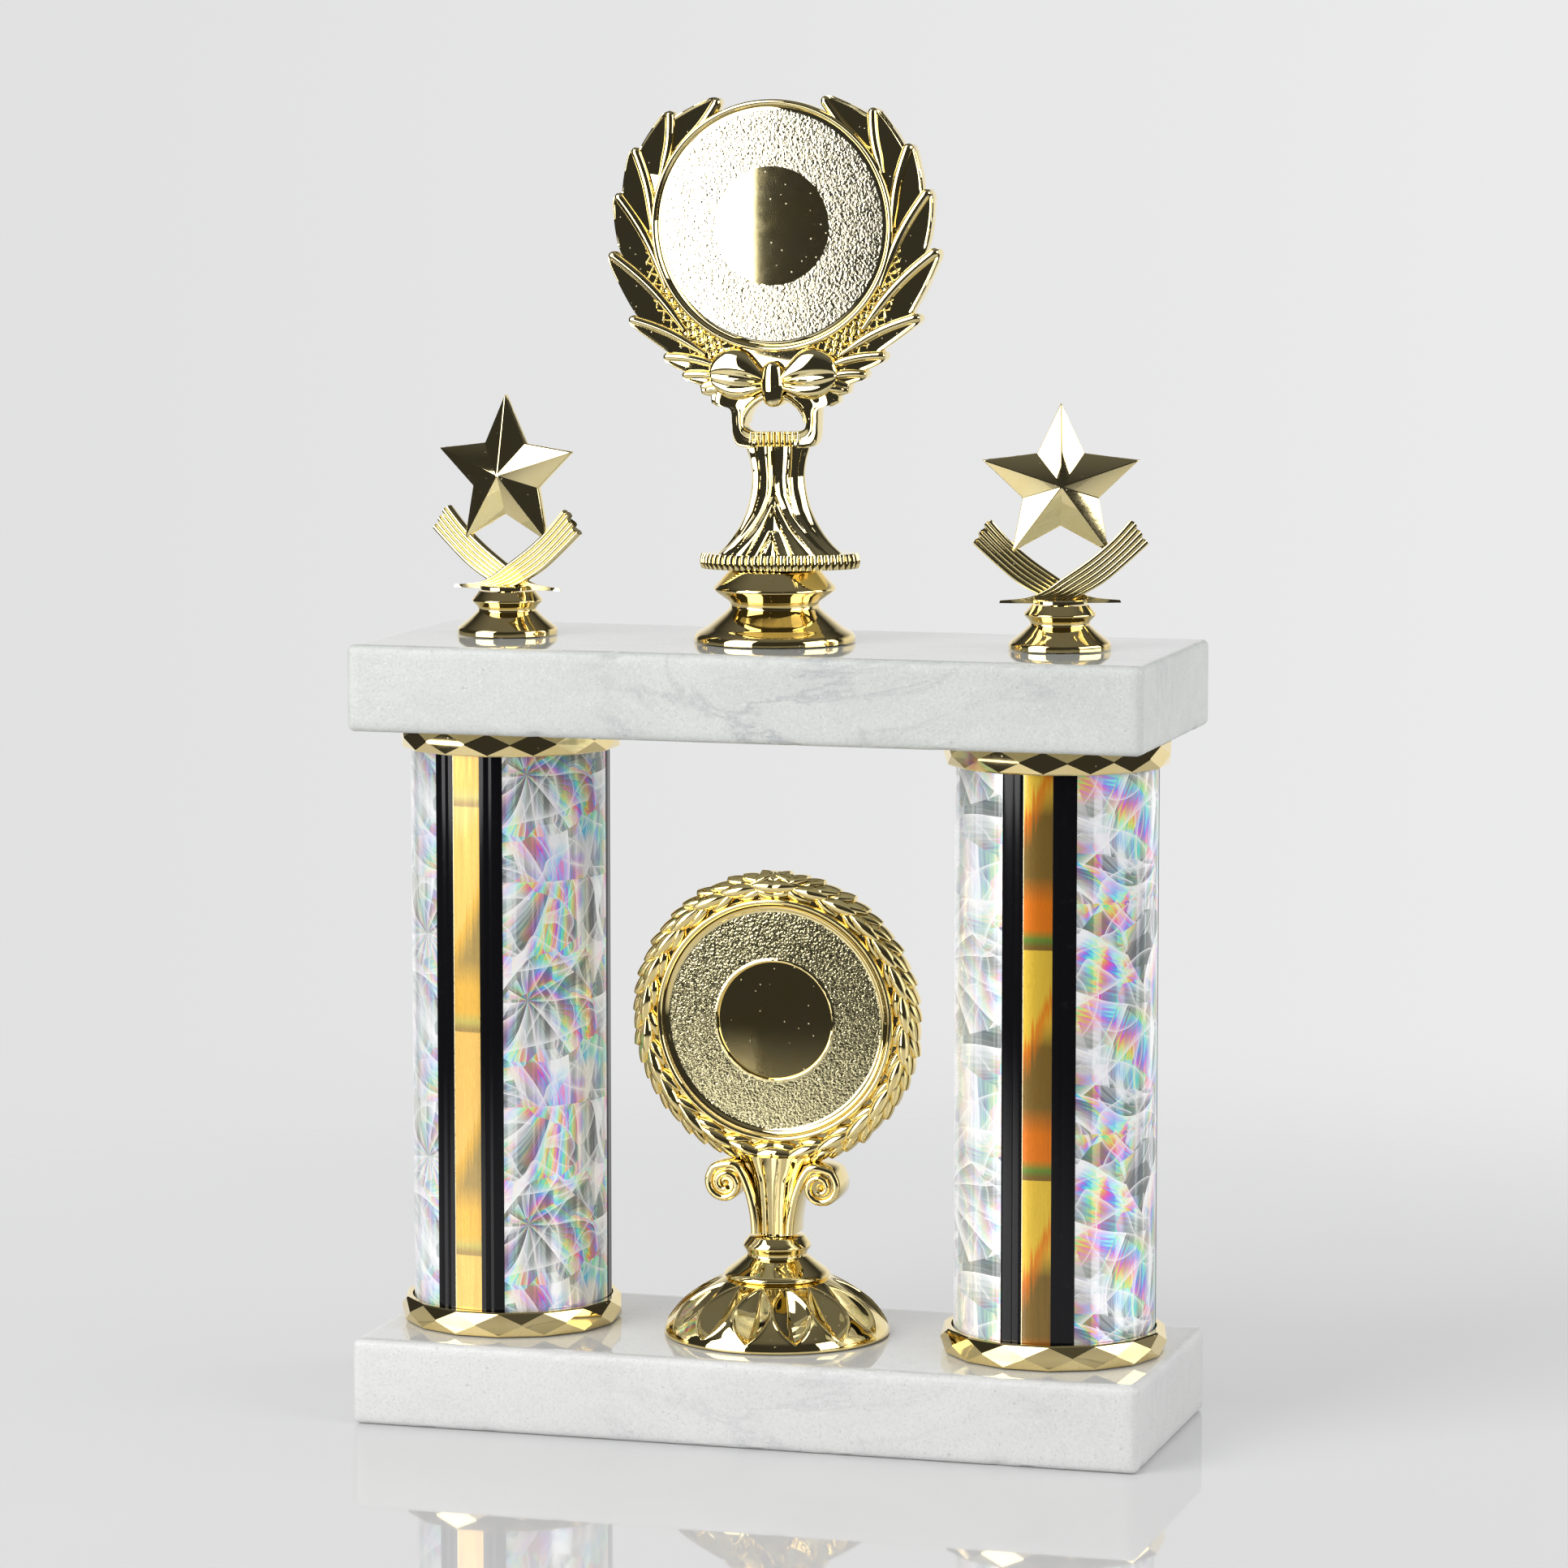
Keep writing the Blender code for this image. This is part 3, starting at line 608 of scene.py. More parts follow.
def slab_skin(skin, length, depth, thickness, bevel, seed, holes):
    """A slab with softly broken, slightly chipped edges, drilled from below."""
    form = bmesh.new()
    bmesh.ops.create_cube(form, size=1)
    bmesh.ops.scale(form, verts=form.verts, vec=(length, depth, thickness))
    bmesh.ops.bevel(form, geom=form.edges[:], offset=bevel, segments=3, profile=0.5, affect="EDGES")
    for axis, size in enumerate((length, depth, thickness)):
        along = [
            edge
            for edge in form.edges
            if abs((edge.verts[0].co - edge.verts[1].co)[axis]) > size * 0.6
        ]
        bmesh.ops.subdivide_edges(form, edges=along, cuts=max(4, int(size / 1.6)), use_grid_fill=True)
    for vert in form.verts:
        inset = [size / 2 - abs(vert.co[i]) for i, size in enumerate((length, depth, thickness))]
        near = sorted(inset)[1]
        if near < bevel * 1.3:
            bite = noise.noise(vert.co * 0.55 + Vector((seed, 0, 0)))
            chip = max(0, noise.noise(vert.co * 0.23 + Vector((0, seed, 7))) - 0.28) * 1.5
            away = [-1 if place > 0 else 1 for place in vert.co]
            inward = Vector([way * (gap <= bevel * 1.3) for way, gap in zip(away, inset)])
            vert.co += inward * (0.05 + 0.05 * bite + chip) * (1 - near / (bevel * 1.3))
    mesh = bpy.data.meshes.new("slab")
    form.to_mesh(mesh)
    form.free()
    item = bpy.data.objects.new("slab", mesh)
    bpy.context.scene.collection.objects.link(item)
    cutters = []
    for x, radius, low, high in holes:
        drill = Skin()
        rounds = [circle(radius, z - thickness / 2, 48) for z in (low, high)]
        drill.rows([[(x + px, py, pz) for px, py, pz in ring] for ring in rounds])
        hole = bpy.data.meshes.new("hole")
        hole.from_pydata(drill.points, [], drill.faces)
        solid = bmesh.new()
        solid.from_mesh(hole)
        bmesh.ops.recalc_face_normals(solid, faces=solid.faces)
        solid.to_mesh(hole)
        solid.free()
        cutter = bpy.data.objects.new("hole", hole)
        bpy.context.scene.collection.objects.link(cutter)
        cutters.append(cutter)
        modifier = item.modifiers.new("hole", "BOOLEAN")
        modifier.operation, modifier.solver, modifier.object = "DIFFERENCE", "EXACT", cutter
    graph = bpy.context.evaluated_depsgraph_get()
    skin.take(bpy.data.meshes.new_from_object(item.evaluated_get(graph)))
    for extra in [item, *cutters]:
        bpy.data.objects.remove(extra)


# Columns and rings


# Each stripe's two edges, in degrees toward +X from the middle of its group, and its kind.
STRIPES = (
    (-21.9, -14.6, "ink"),
    (-14.6, -9.2, "ink"),
    (-9.15, 7.55, "gold"),
    (7.6, 13.2, "ink"),
    (13.2, 20.9, "ink"),
)
GOLD_EDGE = (-9.1, -8.7)


def column_skin(radius, height, wall, turn):
    """The wrap with its overlapped seam, and the raised stripes printed down it in three groups."""
    skin = Skin()
    steps = 180
    seam = 178.0
    rows = []
    for z in (0.0, height):
        row = []
        for step in range(steps + 1):
            angle = radians(seam - 360.0 * step / steps)
            outer = radius - 0.12 - 0.05 * (step > steps - 3)
            row.append((outer * sin(angle), -outer * cos(angle), z))
        for step in range(steps, -1, -1):
            angle = radians(seam - 360.0 * step / steps)
            inner = radius - wall
            row.append((inner * sin(angle), -inner * cos(angle), z))
        rows.append(row)
    skin.rows(rows, finish=0)
    for group in range(3):
        middle = turn + 120 * group
        for low, high, kind in STRIPES:
            if kind == "ink":
                stripe_skin(skin, radius + 0.06, height, middle + low, middle + high, 1, swell=0.13)
            else:
                stripe_skin(skin, radius - 0.07, height, middle + low, middle + high, 2)
        low, high = GOLD_EDGE
        stripe_skin(skin, radius - 0.05, height, middle + low, middle + high, 3, 4)
    return skin


def stripe_skin(skin, radius, height, low, high, finish, across=12, swell=0.0):
    """One stripe with a rounded back, between two angles toward +X from the front."""
    rows = []
    for z in (0.02, height - 0.02):
        row = []
        for k in range(across + 1):
            s = k / across
            angle = radians(low + (high - low) * s)
            out = radius - swell * (2 * s - 1) ** 2
            row.append((out * sin(angle), -out * cos(angle), z))
        for s in (1, 0):
            angle = radians(low + (high - low) * s)
            row.append(((radius - 0.3) * sin(angle), -(radius - 0.3) * cos(angle), z))
        rows.append(row)
    skin.rows(rows, finish=finish)


def ring_skin(height, crest, socket, floor, bore, facets=15):
    """A cup edged with a ring of diamonds, creased round its middle."""
    skin = Skin()
    crease = 0.5 * height
    # Each level's radius and height, and its turn as a share of a facet.
    levels = [
        (crest - 0.75, 0.0, 0.5),
        (crest - 0.45, 0.35, 0.5),
        (crest, crease - 0.12, 0.0),
        (crest, crease + 0.12, 0.0),
        (crest - 0.65, height - 0.3, 0.5),
        (crest - 0.95, height, 0.5),
    ]
    for radius, z, shift in levels:
        skin.points.extend(circle(radius, z, facets, shift))
    for index, ((_, _, shift), (_, _, after)) in enumerate(zip(levels, levels[1:])):
        a, b = index * facets, (index + 1) * facets
        for i in range(facets):
            j = (i + 1) % facets
            if shift == after:
                skin.faces.append((a + i, a + j, b + j, b + i))
            elif shift > after:
                skin.faces.extend([(a + i, b + j, b + i), (a + i, a + j, b + j)])
            else:
                skin.faces.extend([(a + i, a + j, b + i), (a + j, b + j, b + i)])
    inside = []
    count = 4 * facets
    for radius, z in ((socket, height), (socket, floor), (bore, floor), (bore, 0.0)):
        inside.append(len(skin.points))
        skin.points.extend(circle(radius, z, count, 2.0))
    for lower, upper in zip(inside, inside[1:]):
        for i in range(count):
            j = (i + 1) % count
            skin.faces.append((lower + i, lower + j, upper + j, upper + i))
    for outer, inner in ((5 * facets, inside[0]), (0, inside[-1])):
        for i in range(facets):
            run = [inner + (4 * i + k) % count for k in range(5)]
            skin.faces.append((outer + i, outer + (i + 1) % facets, *reversed(run)))
    skin.finishes = [0] * len(skin.faces)
    return skin


# Turned risers and the petalled foot


# Profiles as (radius, height).
STAR_RISER = [
    (6.2, 9.5), (6.6, 9.0), (8.0, 7.4), (6.6, 6.0), (6.4, 5.2), (8.5, 3.3), (10.9, 1.4), (11.1, 1.0),
    (11.1, 0.0),
]
TOP_RISER = [
    (9.8, 15.6), (10.4, 15.0), (13.1, 12.2), (13.6, 11.4), (12.8, 10.6), (9.9, 8.6), (9.7, 7.4),
    (11.2, 6.0), (15.0, 3.0), (17.2, 1.8), (17.7, 1.0), (17.7, 0.0),
]


def riser_skin(profile, bore, soft):
    skin = Skin()
    outline = softened(profile, soft)
    turned(skin, [*outline, (bore, 0.0), (bore, profile[0][1])])
    return skin


FOOT_DOME = [
    (24.95, 0.0), (25.05, 0.5), (24.75, 1.6), (24.0, 2.9), (21.5, 6.1), (18.0, 8.85), (14.5, 10.95),
    (10.9, 12.6),
]
FOOT_NECK = [
    (11.3, 12.62), (11.75, 12.8), (11.8, 13.25), (11.3, 13.9), (8.5, 16.0), (7.0, 17.2), (6.7, 17.5),
    (6.7, 18.1), (7.5, 19.3), (7.6, 19.7), (7.2, 20.4), (6.3, 21.6), (6.1, 21.8),
]
# Under 1, this moves the widest part of a hollow out toward the rim.
PETAL_WARP = 0.85


def foot_skin(petals, bore, petal_depth):
    """A dome cut with keeled hollows, each with a fine raised lip, below a cone and a collar."""
    skin = Skin()
    per_petal = 60
    steps = petals * per_petal
    body = curve(FOOT_DOME, 96)
    neck = softened(FOOT_NECK, 0.4)
    low, high = 24.7, 12.0
    rows = []
    for index, (radius, height) in enumerate([*body, *neck]):
        along = (low - radius) / (low - high) if index < len(body) else -1
        warped = along**PETAL_WARP if 0 < along < 1 else 0.0
        width = 0.96 * 4 * warped * (1 - warped)
        row = []
        for step in range(steps):
            aside = abs((step % per_petal) / per_petal - 0.5) * 2
            sunk = 0.0
            if width > 0.02:
                sunk = petal_depth * max(0.0, width - aside) * radius / 17
                lip = 0.2 * exp(-(((aside - width) * radius * pi / petals / 0.34) ** 2))
                sunk -= lip * min(1, width * 3)
            angle = 2 * pi * step / steps
            out = radius - 0.5 * sunk
            row.append((out * cos(angle), out * sin(angle), height - 0.86 * sunk))
        rows.append(row)
    rows += [circle(bore, height, steps) for height in (FOOT_NECK[-1][1], 0.0)]
    skin.rows(rows, round_along=True)
    return skin


# Star figures


# Height of a star's middle above its riser.
STAR_LIFT = 25.7
# The ribbon's upper and lower edge as (x, z), from its pointed tip.
RIBBON_HIGH = [(-13.0, 0.9), (-6.9, 1.6), (-3.0, 3.4), (0.0, 5.5), (6.0, 9.7), (11.0, 14.0), (15.3, 18.8)]
RIBBON_LOW = [(-13.2, 0.3), (-4.0, 0.3), (1.5, 0.8), (5.6, 2.5), (9.9, 5.1), (14.3, 8.8), (19.0, 13.1)]


def star_mesh(radius, notch, edge, apex):
    """A five-pointed star with a pyramid on each face and eased edges."""
    form = bmesh.new()
    outline = []
    for index in range(10):
        angle = pi / 2 + index * pi / 5
        reach = notch if index % 2 else radius - 0.5
        outline.append((reach * cos(angle), reach * sin(angle)))
    rims = [[form.verts.new((x, y, z)) for x, z in outline] for y in (-edge / 2, edge / 2)]
    for i in range(10):
        j = (i + 1) % 10
        form.faces.new((rims[0][i], rims[0][j], rims[1][j], rims[1][i]))
    for rim, y in zip(rims, (-apex, apex)):
        peak = form.verts.new((0, y, 0))
        for i in range(10):
            form.faces.new((rim[i], rim[(i + 1) % 10], peak))
    bmesh.ops.recalc_face_normals(form, faces=form.faces)
    bmesh.ops.bevel(form, geom=form.edges[:], offset=0.16, segments=3, profile=0.5, affect="EDGES")
    mesh = bpy.data.meshes.new("star")
    form.to_mesh(mesh)
    form.free()
    return mesh


def flash_skin(skin, radius, notch, lift):
    """The thin, uneven line that the mould leaves round the star's edge."""
    rows = []
    outline = []
    for index in range(10):
        for step in range(14):
            t = step / 14
            a, b = pi / 2 + index * pi / 5, pi / 2 + (index + 1) * pi / 5
            p, q = (notch, radius) if index % 2 else (radius, notch)
            outline.append(((1 - t) * p * cos(a) + t * q * cos(b), (1 - t) * p * sin(a) + t * q * sin(b)))
    for x, z in outline:
        wobble = noise.noise(Vector((x * 0.9, z * 0.9, 3.0)))
        grow = 1 + (0.012 + 0.014 * wobble)
        reach = 0.28 + 0.12 * noise.noise(Vector((x * 0.6, 5.0, z * 0.6)))
        row = []
        for k in range(8):
            turn = 2 * pi * k / 8
            size = grow + 0.2 * cos(turn) / hypot(x, z) - 0.02
            row.append((x * size, reach * sin(turn), lift + z * size))
        rows.append(row)
    skin.rows(rows, round_along=True)


def ribbon_skin(skin, flip, front, thickness):
    """A ribbed ribbon, from its low pointed tip up to its wide stepped end."""
    ribs = 6

    def face(stand):
        def depth(s, t):
            relief = 0.34 * abs(sin(pi * ribs * s)) ** 0.55 * between(t, 0.06, 0.42)
            edge = 0.16 * (s in (0, 1))
            return stand - 0.34 + relief - edge - 0.5 * (1 - between(t, 0, 0.16))

        return depth

    rows = []
    along, across = 44, 72
    near, far = face(front), face(thickness - front)
    run = Vector((4.3, 5.0)).normalized()
    for step, (a, b) in enumerate(zip(curve(RIBBON_LOW, along), curve(RIBBON_HIGH, along))):
        t = step / (along - 1)
        line = []
        for k in range(across + 1):
            s = k / across
            notch = 0.55 * ((int(s * ribs * 0.999) % 2) * between(t, 0.985, 1.0))
            x, z = a[0] + (b[0] - a[0]) * s, a[1] + (b[1] - a[1]) * s
            line.append((s, x - run.x * notch, z - run.y * notch))
        row = [(flip * x, -flip * near(s, t), z) for s, x, z in line]
        row += [(flip * x, flip * far(s, t), z) for s, x, z in reversed(line)]
        rows.append(row)
    skin.rows(rows)


def star_figure_skin(bore_depth):
    skin = Skin()
    star = star_mesh(18.15, 8.65, 1.5, 4.5)
    for vert in star.vertices:
        vert.co.z += STAR_LIFT
    skin.take(star)
    flash_skin(skin, 17.8, 8.5, STAR_LIFT)
    for flip in (1, -1):
        ribbon_skin(skin, flip, 1.7, 2.2)
    seat = [(6.0, 0.3), (6.0, 0.95), (5.75, 1.2), (2.2, 1.2)]
    turned(skin, [*seat, (2.2, -bore_depth), (0.01, -bore_depth), (0.01, 0.3)], 48)
    return skin


# Round holders and wreath leaves


# Space between the rounds of points across a cast ground.
STIPPLE_STEP = 0.34


def holder_skin(skin, lift, profile, stipple, roughness, rounds=360):
    """A round holder turned about its front to back axis, the same on both faces.

    profile is (radius, depth) from the middle out. The ground between the two stipple radii is cast
    with fine bumps of this roughness, and takes the second finish.
    """
    inner, outer = stipple
    levels = []
    for (r0, d0), (r1, d1) in zip(profile, profile[1:]):
        pieces = max(1, int((r1 - r0) / STIPPLE_STEP)) if inner <= r0 < outer else 1
        levels += [(r0 + (r1 - r0) * k / pieces, d0 + (d1 - d0) * k / pieces) for k in range(pieces)]
    levels.append(profile[-1])
    angles = [2 * pi * step / rounds for step in range(rounds)]
    edges = []
    for face in (FRONT, BACK):
        first = len(skin.points)
        for radius, depth in levels:
            for angle in angles:
                wander = 0.0
                if radius == inner:
                    wander = 0.16 * noise.noise(Vector((cos(angle) * 9, sin(angle) * 9, 1.0)))
                x, z = (radius + wander) * sin(angle), (radius + wander) * cos(angle)
                grit = 0.0
                if inner + 0.2 < radius < outer - 0.2:
                    grit = roughness * noise.noise(Vector((x * 2.6, z * 2.6, face * 5.0)))
                skin.points.append((x, face * (depth + grit), lift + z))
        for i, (radius, _) in enumerate(levels[:-1]):
            lower, upper = first + i * rounds, first + (i + 1) * rounds
            join_rounds(skin, lower, upper, rounds, 1 if inner <= radius < outer - 0.05 else 0)
        skin.faces.append(tuple(range(first, first + rounds)))
        skin.finishes.append(0)
        edges.append(first + (len(levels) - 1) * rounds)
    join_rounds(skin, *edges, rounds, 0)


def join_rounds(skin, lower, upper, rounds, finish):
    """Skins between two rounds of points, each given by its first point's number."""
    for j in range(rounds):
        k = (j + 1) % rounds
        skin.faces.append((lower + j, lower + k, upper + k, upper + j))
        skin.finishes.append(finish)


# Half the width of a leaf's ridge, how far its flank leans to a millimetre, and the flank's widest reach.
LEAF_RIDGE = 1.15
LEAF_TILT = 0.08
WIDEST_FLANK = 6.5


def wreath_leaf(skin, lift, side, ends, after, share, stand):
    """A blade with a round ridge along its inner edge, and a flank that reaches under the next leaf.

    ends are its tip and root as (angle, radius) about the holder, and after is the next leaf's pair.
    """
    along, ridge_steps, flank_steps = 56, 14, 18
    top, bottom = (Vector(polar(side * angle, radius, lift)) for angle, radius in ends)
    next_top, next_bottom = (Vector(polar(side * angle, radius, lift)) for angle, radius in after)
    next_run = (next_top - next_bottom).normalized()
    length = (top - bottom).length
    run = (top - bottom) / length
    out = Vector((-run.y, run.x)) * -side

    def reach_at(left):
        """How far the next leaf's ridge is, and how far past its tip that is."""
        spot = top - run * left
        gap = (next_top - spot).cross(next_run) / out.cross(next_run)
        return gap, (spot + out * gap - next_top).dot(next_run)

    free = next((left / 4 for left in range(1, 80) if reach_at(left / 4)[1] < -1.2), length)
    full = min(WIDEST_FLANK, reach_at(free)[0])
    rows = []
    for i in range(along):
        t = (i / (along - 1)) ** 0.75
        left = (1 - t) * length
        middle = bottom + run * length * t - out * 0.05 * length * sin(pi * t)
        blunt = sqrt(max(0.0, 1 - (max(0.0, 1.3 - left) / 1.3) ** 2)) * 0.95 + 0.05
        ridge = LEAF_RIDGE * (0.6 + 0.4 * between(t, 0, 0.3)) * blunt * (0.75 + 0.25 * min(1, share))
        if left < free:
            wide = 1.0 + (full - 1.0) * (1 - (1 - left / free) ** 1.5)
        else:
            wide = min(WIDEST_FLANK, reach_at(left)[0])
        wide = max(ridge * 1.02, wide * blunt)
        rim = 1 - between(left, free - 1.5, free + 0.5)
        offsets = [-ridge + 2 * ridge * k / ridge_steps for k in range(ridge_steps + 1)]
        offsets += [ridge + (wide - ridge) * k / flank_steps for k in range(1, flank_steps + 1)]
        face = []
        for offset in offsets:
            if offset <= ridge:
                height = 0.42 + 1.1 * sqrt(max(0.0, 1 - (offset / ridge) ** 2))
            else:
                height = 0.42 - side * LEAF_TILT * (offset - ridge)
                lip = exp(-(((wide - offset - 0.22) / 0.28) ** 2)) * between(wide - ridge, 0.3, 1.2)
                height += 0.3 * rim * lip
            spot = middle + out * offset
            face.append((spot.x, stand + height * (0.4 + 0.6 * blunt), spot.y))
        rows.append(both_faces(face))
    skin.rows(rows)


# Each leaf's tip and root as (angle, radius), and its size beside the others.
TOP_LEAVES = [
    ((22.9, 30.0), (54.0, 27.2), 0.92),
    ((42.2, 34.0), (66.0, 27.4), 1.0),
    ((60.8, 35.6), (91.0, 27.1), 1.0),
    ((78.1, 36.1), (118.6, 27.6), 1.16),
    ((98.4, 37.6), (138.0, 30.2), 1.0),
    ((121.0, 38.5), (151.0, 31.8), 0.66),
    ((138.2, 37.8), (158.0, 32.8), 0.5),
    ((147.0, 38.4), (162.0, 34.8), 0.42),
    ((156.0, 38.9), (168.0, 36.4), 0.36),
]
# Where a leaf past the last one would be.
LAST_LEAF_AFTER = ((164.0, 38.9), (174.0, 37.4))


# The net's inner radius, and its outer radius by angle.
NET_ROOT = 26.9
NET_EDGE = [(92, 28.4), (112, 30.6), (130, 32.6), (146, 34.4), (166, 36.0)]


def net_skin(skin, lift, side, face):
    """The cross-hatched ground between the lower leaves and the rim."""
    rows = []
    pitch = 2.5
    for i in range(241):
        angle = 92 + 74 * i / 240
        outer = follow(NET_EDGE, angle)
        row = []
        for j in range(49):
            radius = NET_ROOT + (outer - NET_ROOT) * j / 48
            along = radians(angle) * 30
            ridge = 0.0
            for lean in (1, -1):
                place = (along + lean * (radius - 27) * 0.95) / pitch
                ridge = max(ridge, exp(-(((place - round(place)) * pitch / 0.4) ** 2)))
            x, z = polar(side * angle, radius, lift)
            row.append((x, face * (1.15 + 0.8 * ridge), z))
        rows.append(row)
    skin.rows([row + [(x, 0.0, z) for x, _, z in (row[-1], row[0])] for row in rows])


# The top figure's bow, handle and stem


def loop_depth(stand, swell, lobes, crease):
    """A puffed loop, pleated where it comes out of the knot. lobes are the pleats' places across it."""

    def depth(s, t):
        body = max(0.0, 1 - abs(2 * s - 1) ** 2.6) ** 0.5
        spread = 0.45 + 0.55 * sin(pi * min(1, 0.16 + t * 0.8)) ** 0.7
        rounded_end = sqrt(max(0.0, 1 - (max(0.0, t - 0.84) / 0.16) ** 2))
        fold = max([exp(-(((s - lobe) / (0.06 + 0.05 * t)) ** 2)) for lobe in lobes], default=0.0)
        fold *= crease * (1 - 0.75 * between(t, 0.25, 1.0))
        return stand + (swell * body * spread - fold) * (0.15 + 0.85 * rounded_end)

    return depth


# Each bow part's low edge, high edge and (stand, swell, pleats, pleat depth).
BOW_PARTS = [
    (
        [(8.4, 39.4), (11.5, 38.7), (14.4, 37.7), (16.6, 38.2)],
        [(8.4, 42.6), (11.5, 42.2), (14.6, 41.3), (17.0, 40.3)],
        (1.9, 0.9, (0.5,), 0.5),
    ),
    (
        [(8.0, 38.2), (10.4, 36.4), (12.6, 35.4), (14.4, 36.2)],
        [(8.0, 40.0), (10.4, 39.5), (13.0, 39.2), (14.6, 38.4)],
        (1.9, 0.7, (), 0.0),
    ),
    (
        [(1.4, 39.3), (3.2, 38.2), (6.4, 36.9), (10.2, 37.0), (13.2, 38.9), (14.6, 41.4)],
        [(1.4, 42.3), (3.2, 44.8), (6.2, 47.6), (9.8, 48.3), (13.2, 46.6), (14.8, 43.2)],
        (1.7, 3.1, (0.28, 0.46), 0.95),
    ),
]
# The handle's leg and the bow's tail, as (x, z) on one side.
LEG_INNER = [(2.6, 37.2), (5.0, 35.7), (6.7, 33.7), (6.95, 31.9), (6.3, 30.5), (4.4, 29.9), (2.0, 29.8)]
LEG_OUTER = [(14.0, 38.6), (13.9, 36.0), (10.4, 35.0), (9.9, 31.8), (9.7, 28.9), (8.7, 26.8), (5.4, 26.2)]
TAIL = [(1.6, 37.8), (3.6, 36.9), (5.6, 35.2), (6.7, 33.4), (7.0, 31.8)]


def leg_depth(s, t):
    """Rounded inner and outer edges with a hollow between them."""
    hollow = 0.5 * exp(-(((s - 0.42) / 0.16) ** 2))
    return 1.5 + 1.25 * min(1, dome(s) * 1.6) - hollow


# A stem's height, half length and half depth.
TOP_STEM = [
    (2.4, 14.9, 7.9), (3.6, 13.6, 7.4), (5.0, 12.1, 6.8), (7.2, 10.3, 6.0), (10.0, 8.6, 5.3),
    (13.5, 7.1, 4.6), (17.0, 6.3, 4.2), (20.5, 6.0, 4.1), (23.5, 6.4, 4.1), (25.6, 7.0, 4.2),
    (26.8, 7.3, 4.2),
]
# Each rib's half distance from the middle, by height, upward.
TOP_RIBS = [
    [(2.0, 10.6), (5.0, 7.9), (9.0, 4.4), (13.0, 1.9), (16.0, 0.62), (18.0, 0.38), (27.0, 0.5)],
    [(2.0, 5.9), (5.0, 4.3), (9.0, 2.1), (12.0, 0.75), (13.8, 0.0)],
    [(2.0, 2.4), (5.0, 1.35), (7.6, 0.3), (8.4, 0.0)],
    [(2.0, 14.2), (5.0, 10.4), (8.0, 7.5), (12.0, 4.7), (16.0, 3.4), (20.0, 3.1), (27.0, 3.8)],
    [(3.0, 14.4), (6.0, 10.9), (9.0, 8.2), (13.0, 6.2), (18.0, 5.1), (22.0, 5.1), (27.0, 6.2)],
]


def ribbed_stem(skin, profile, ribs, groove, reach, along, around):
    """An oval stem with fine ribs that follow their own lines, and hollows between them."""
    rows = []
    for height, half_length, half_depth in curve(profile, along):
        lines = [follow(rib, height) for rib in ribs if rib[0][0] <= height <= rib[-1][0]]
        row = []
        for step in range(around):
            angle = 2 * pi * step / around
            x, y = half_length * cos(angle), half_depth * sin(angle)
            gap = min([abs(abs(x) - line) for line in lines], default=reach)
            sunk = groove * (1 - exp(-((gap / reach) ** 1.15))) * min(1, abs(sin(angle)) * 1.8)
            row.append((x - 0.2 * sunk * cos(angle), y - sunk * sin(angle), height))
        rows.append(row)
    skin.rows(rows)


def oval_walk(half_length, half_depth, count):
    """Even steps round an oval, as (point, outward direction)."""
    fine = 2000
    angles = [2 * pi * i / fine for i in range(fine + 1)]
    points = [(half_length * cos(a), half_depth * sin(a)) for a in angles]
    lengths = [0.0]
    for a, b in zip(points, points[1:]):
        lengths.append(lengths[-1] + hypot(b[0] - a[0], b[1] - a[1]))
    found, at = [], 0
    for step in range(count):
        target = lengths[-1] * step / count
        while lengths[at + 1] < target:
            at += 1
        x, y = points[at]
        out = Vector((x / half_length**2, y / half_depth**2)).normalized()
        found.append((x, y, out))
    return found


def beaded_collar(skin, half_length, half_depth, low, high, beads):
    per_bead, levels = 8, 10
    walk = oval_walk(half_length, half_depth, beads * per_bead)
    rows = []
    for level in range(levels + 1):
        t = level / levels
        round_off = sin(pi * (0.06 + 0.88 * t)) ** 0.5
        row = []
        for step, (x, y, out) in enumerate(walk):
            rib = abs(sin(pi * step / per_bead)) ** 0.7
            inset = 0.75 * (1 - rib * round_off)
            row.append((x - out.x * inset, y - out.y * inset, low + (high - low) * t))
        rows.append(row)
    skin.rows(rows)


TOP_HOLDER_LIFT = 74.6
TOP_HOLDER = [
    (12.9, 1.92), (13.0, 1.92), (25.2, 1.9), (25.4, 1.75), (25.75, 1.75), (26.0, 2.2), (26.3, 2.72),
    (26.7, 2.88), (27.1, 2.78), (27.32, 2.4), (27.35, 0.9),
]
KNOT = [(0.8, 35.3), (2.1, 36.2), (2.75, 38.2), (2.9, 40.4), (2.7, 42.7), (2.1, 44.5), (0.8, 45.4)]


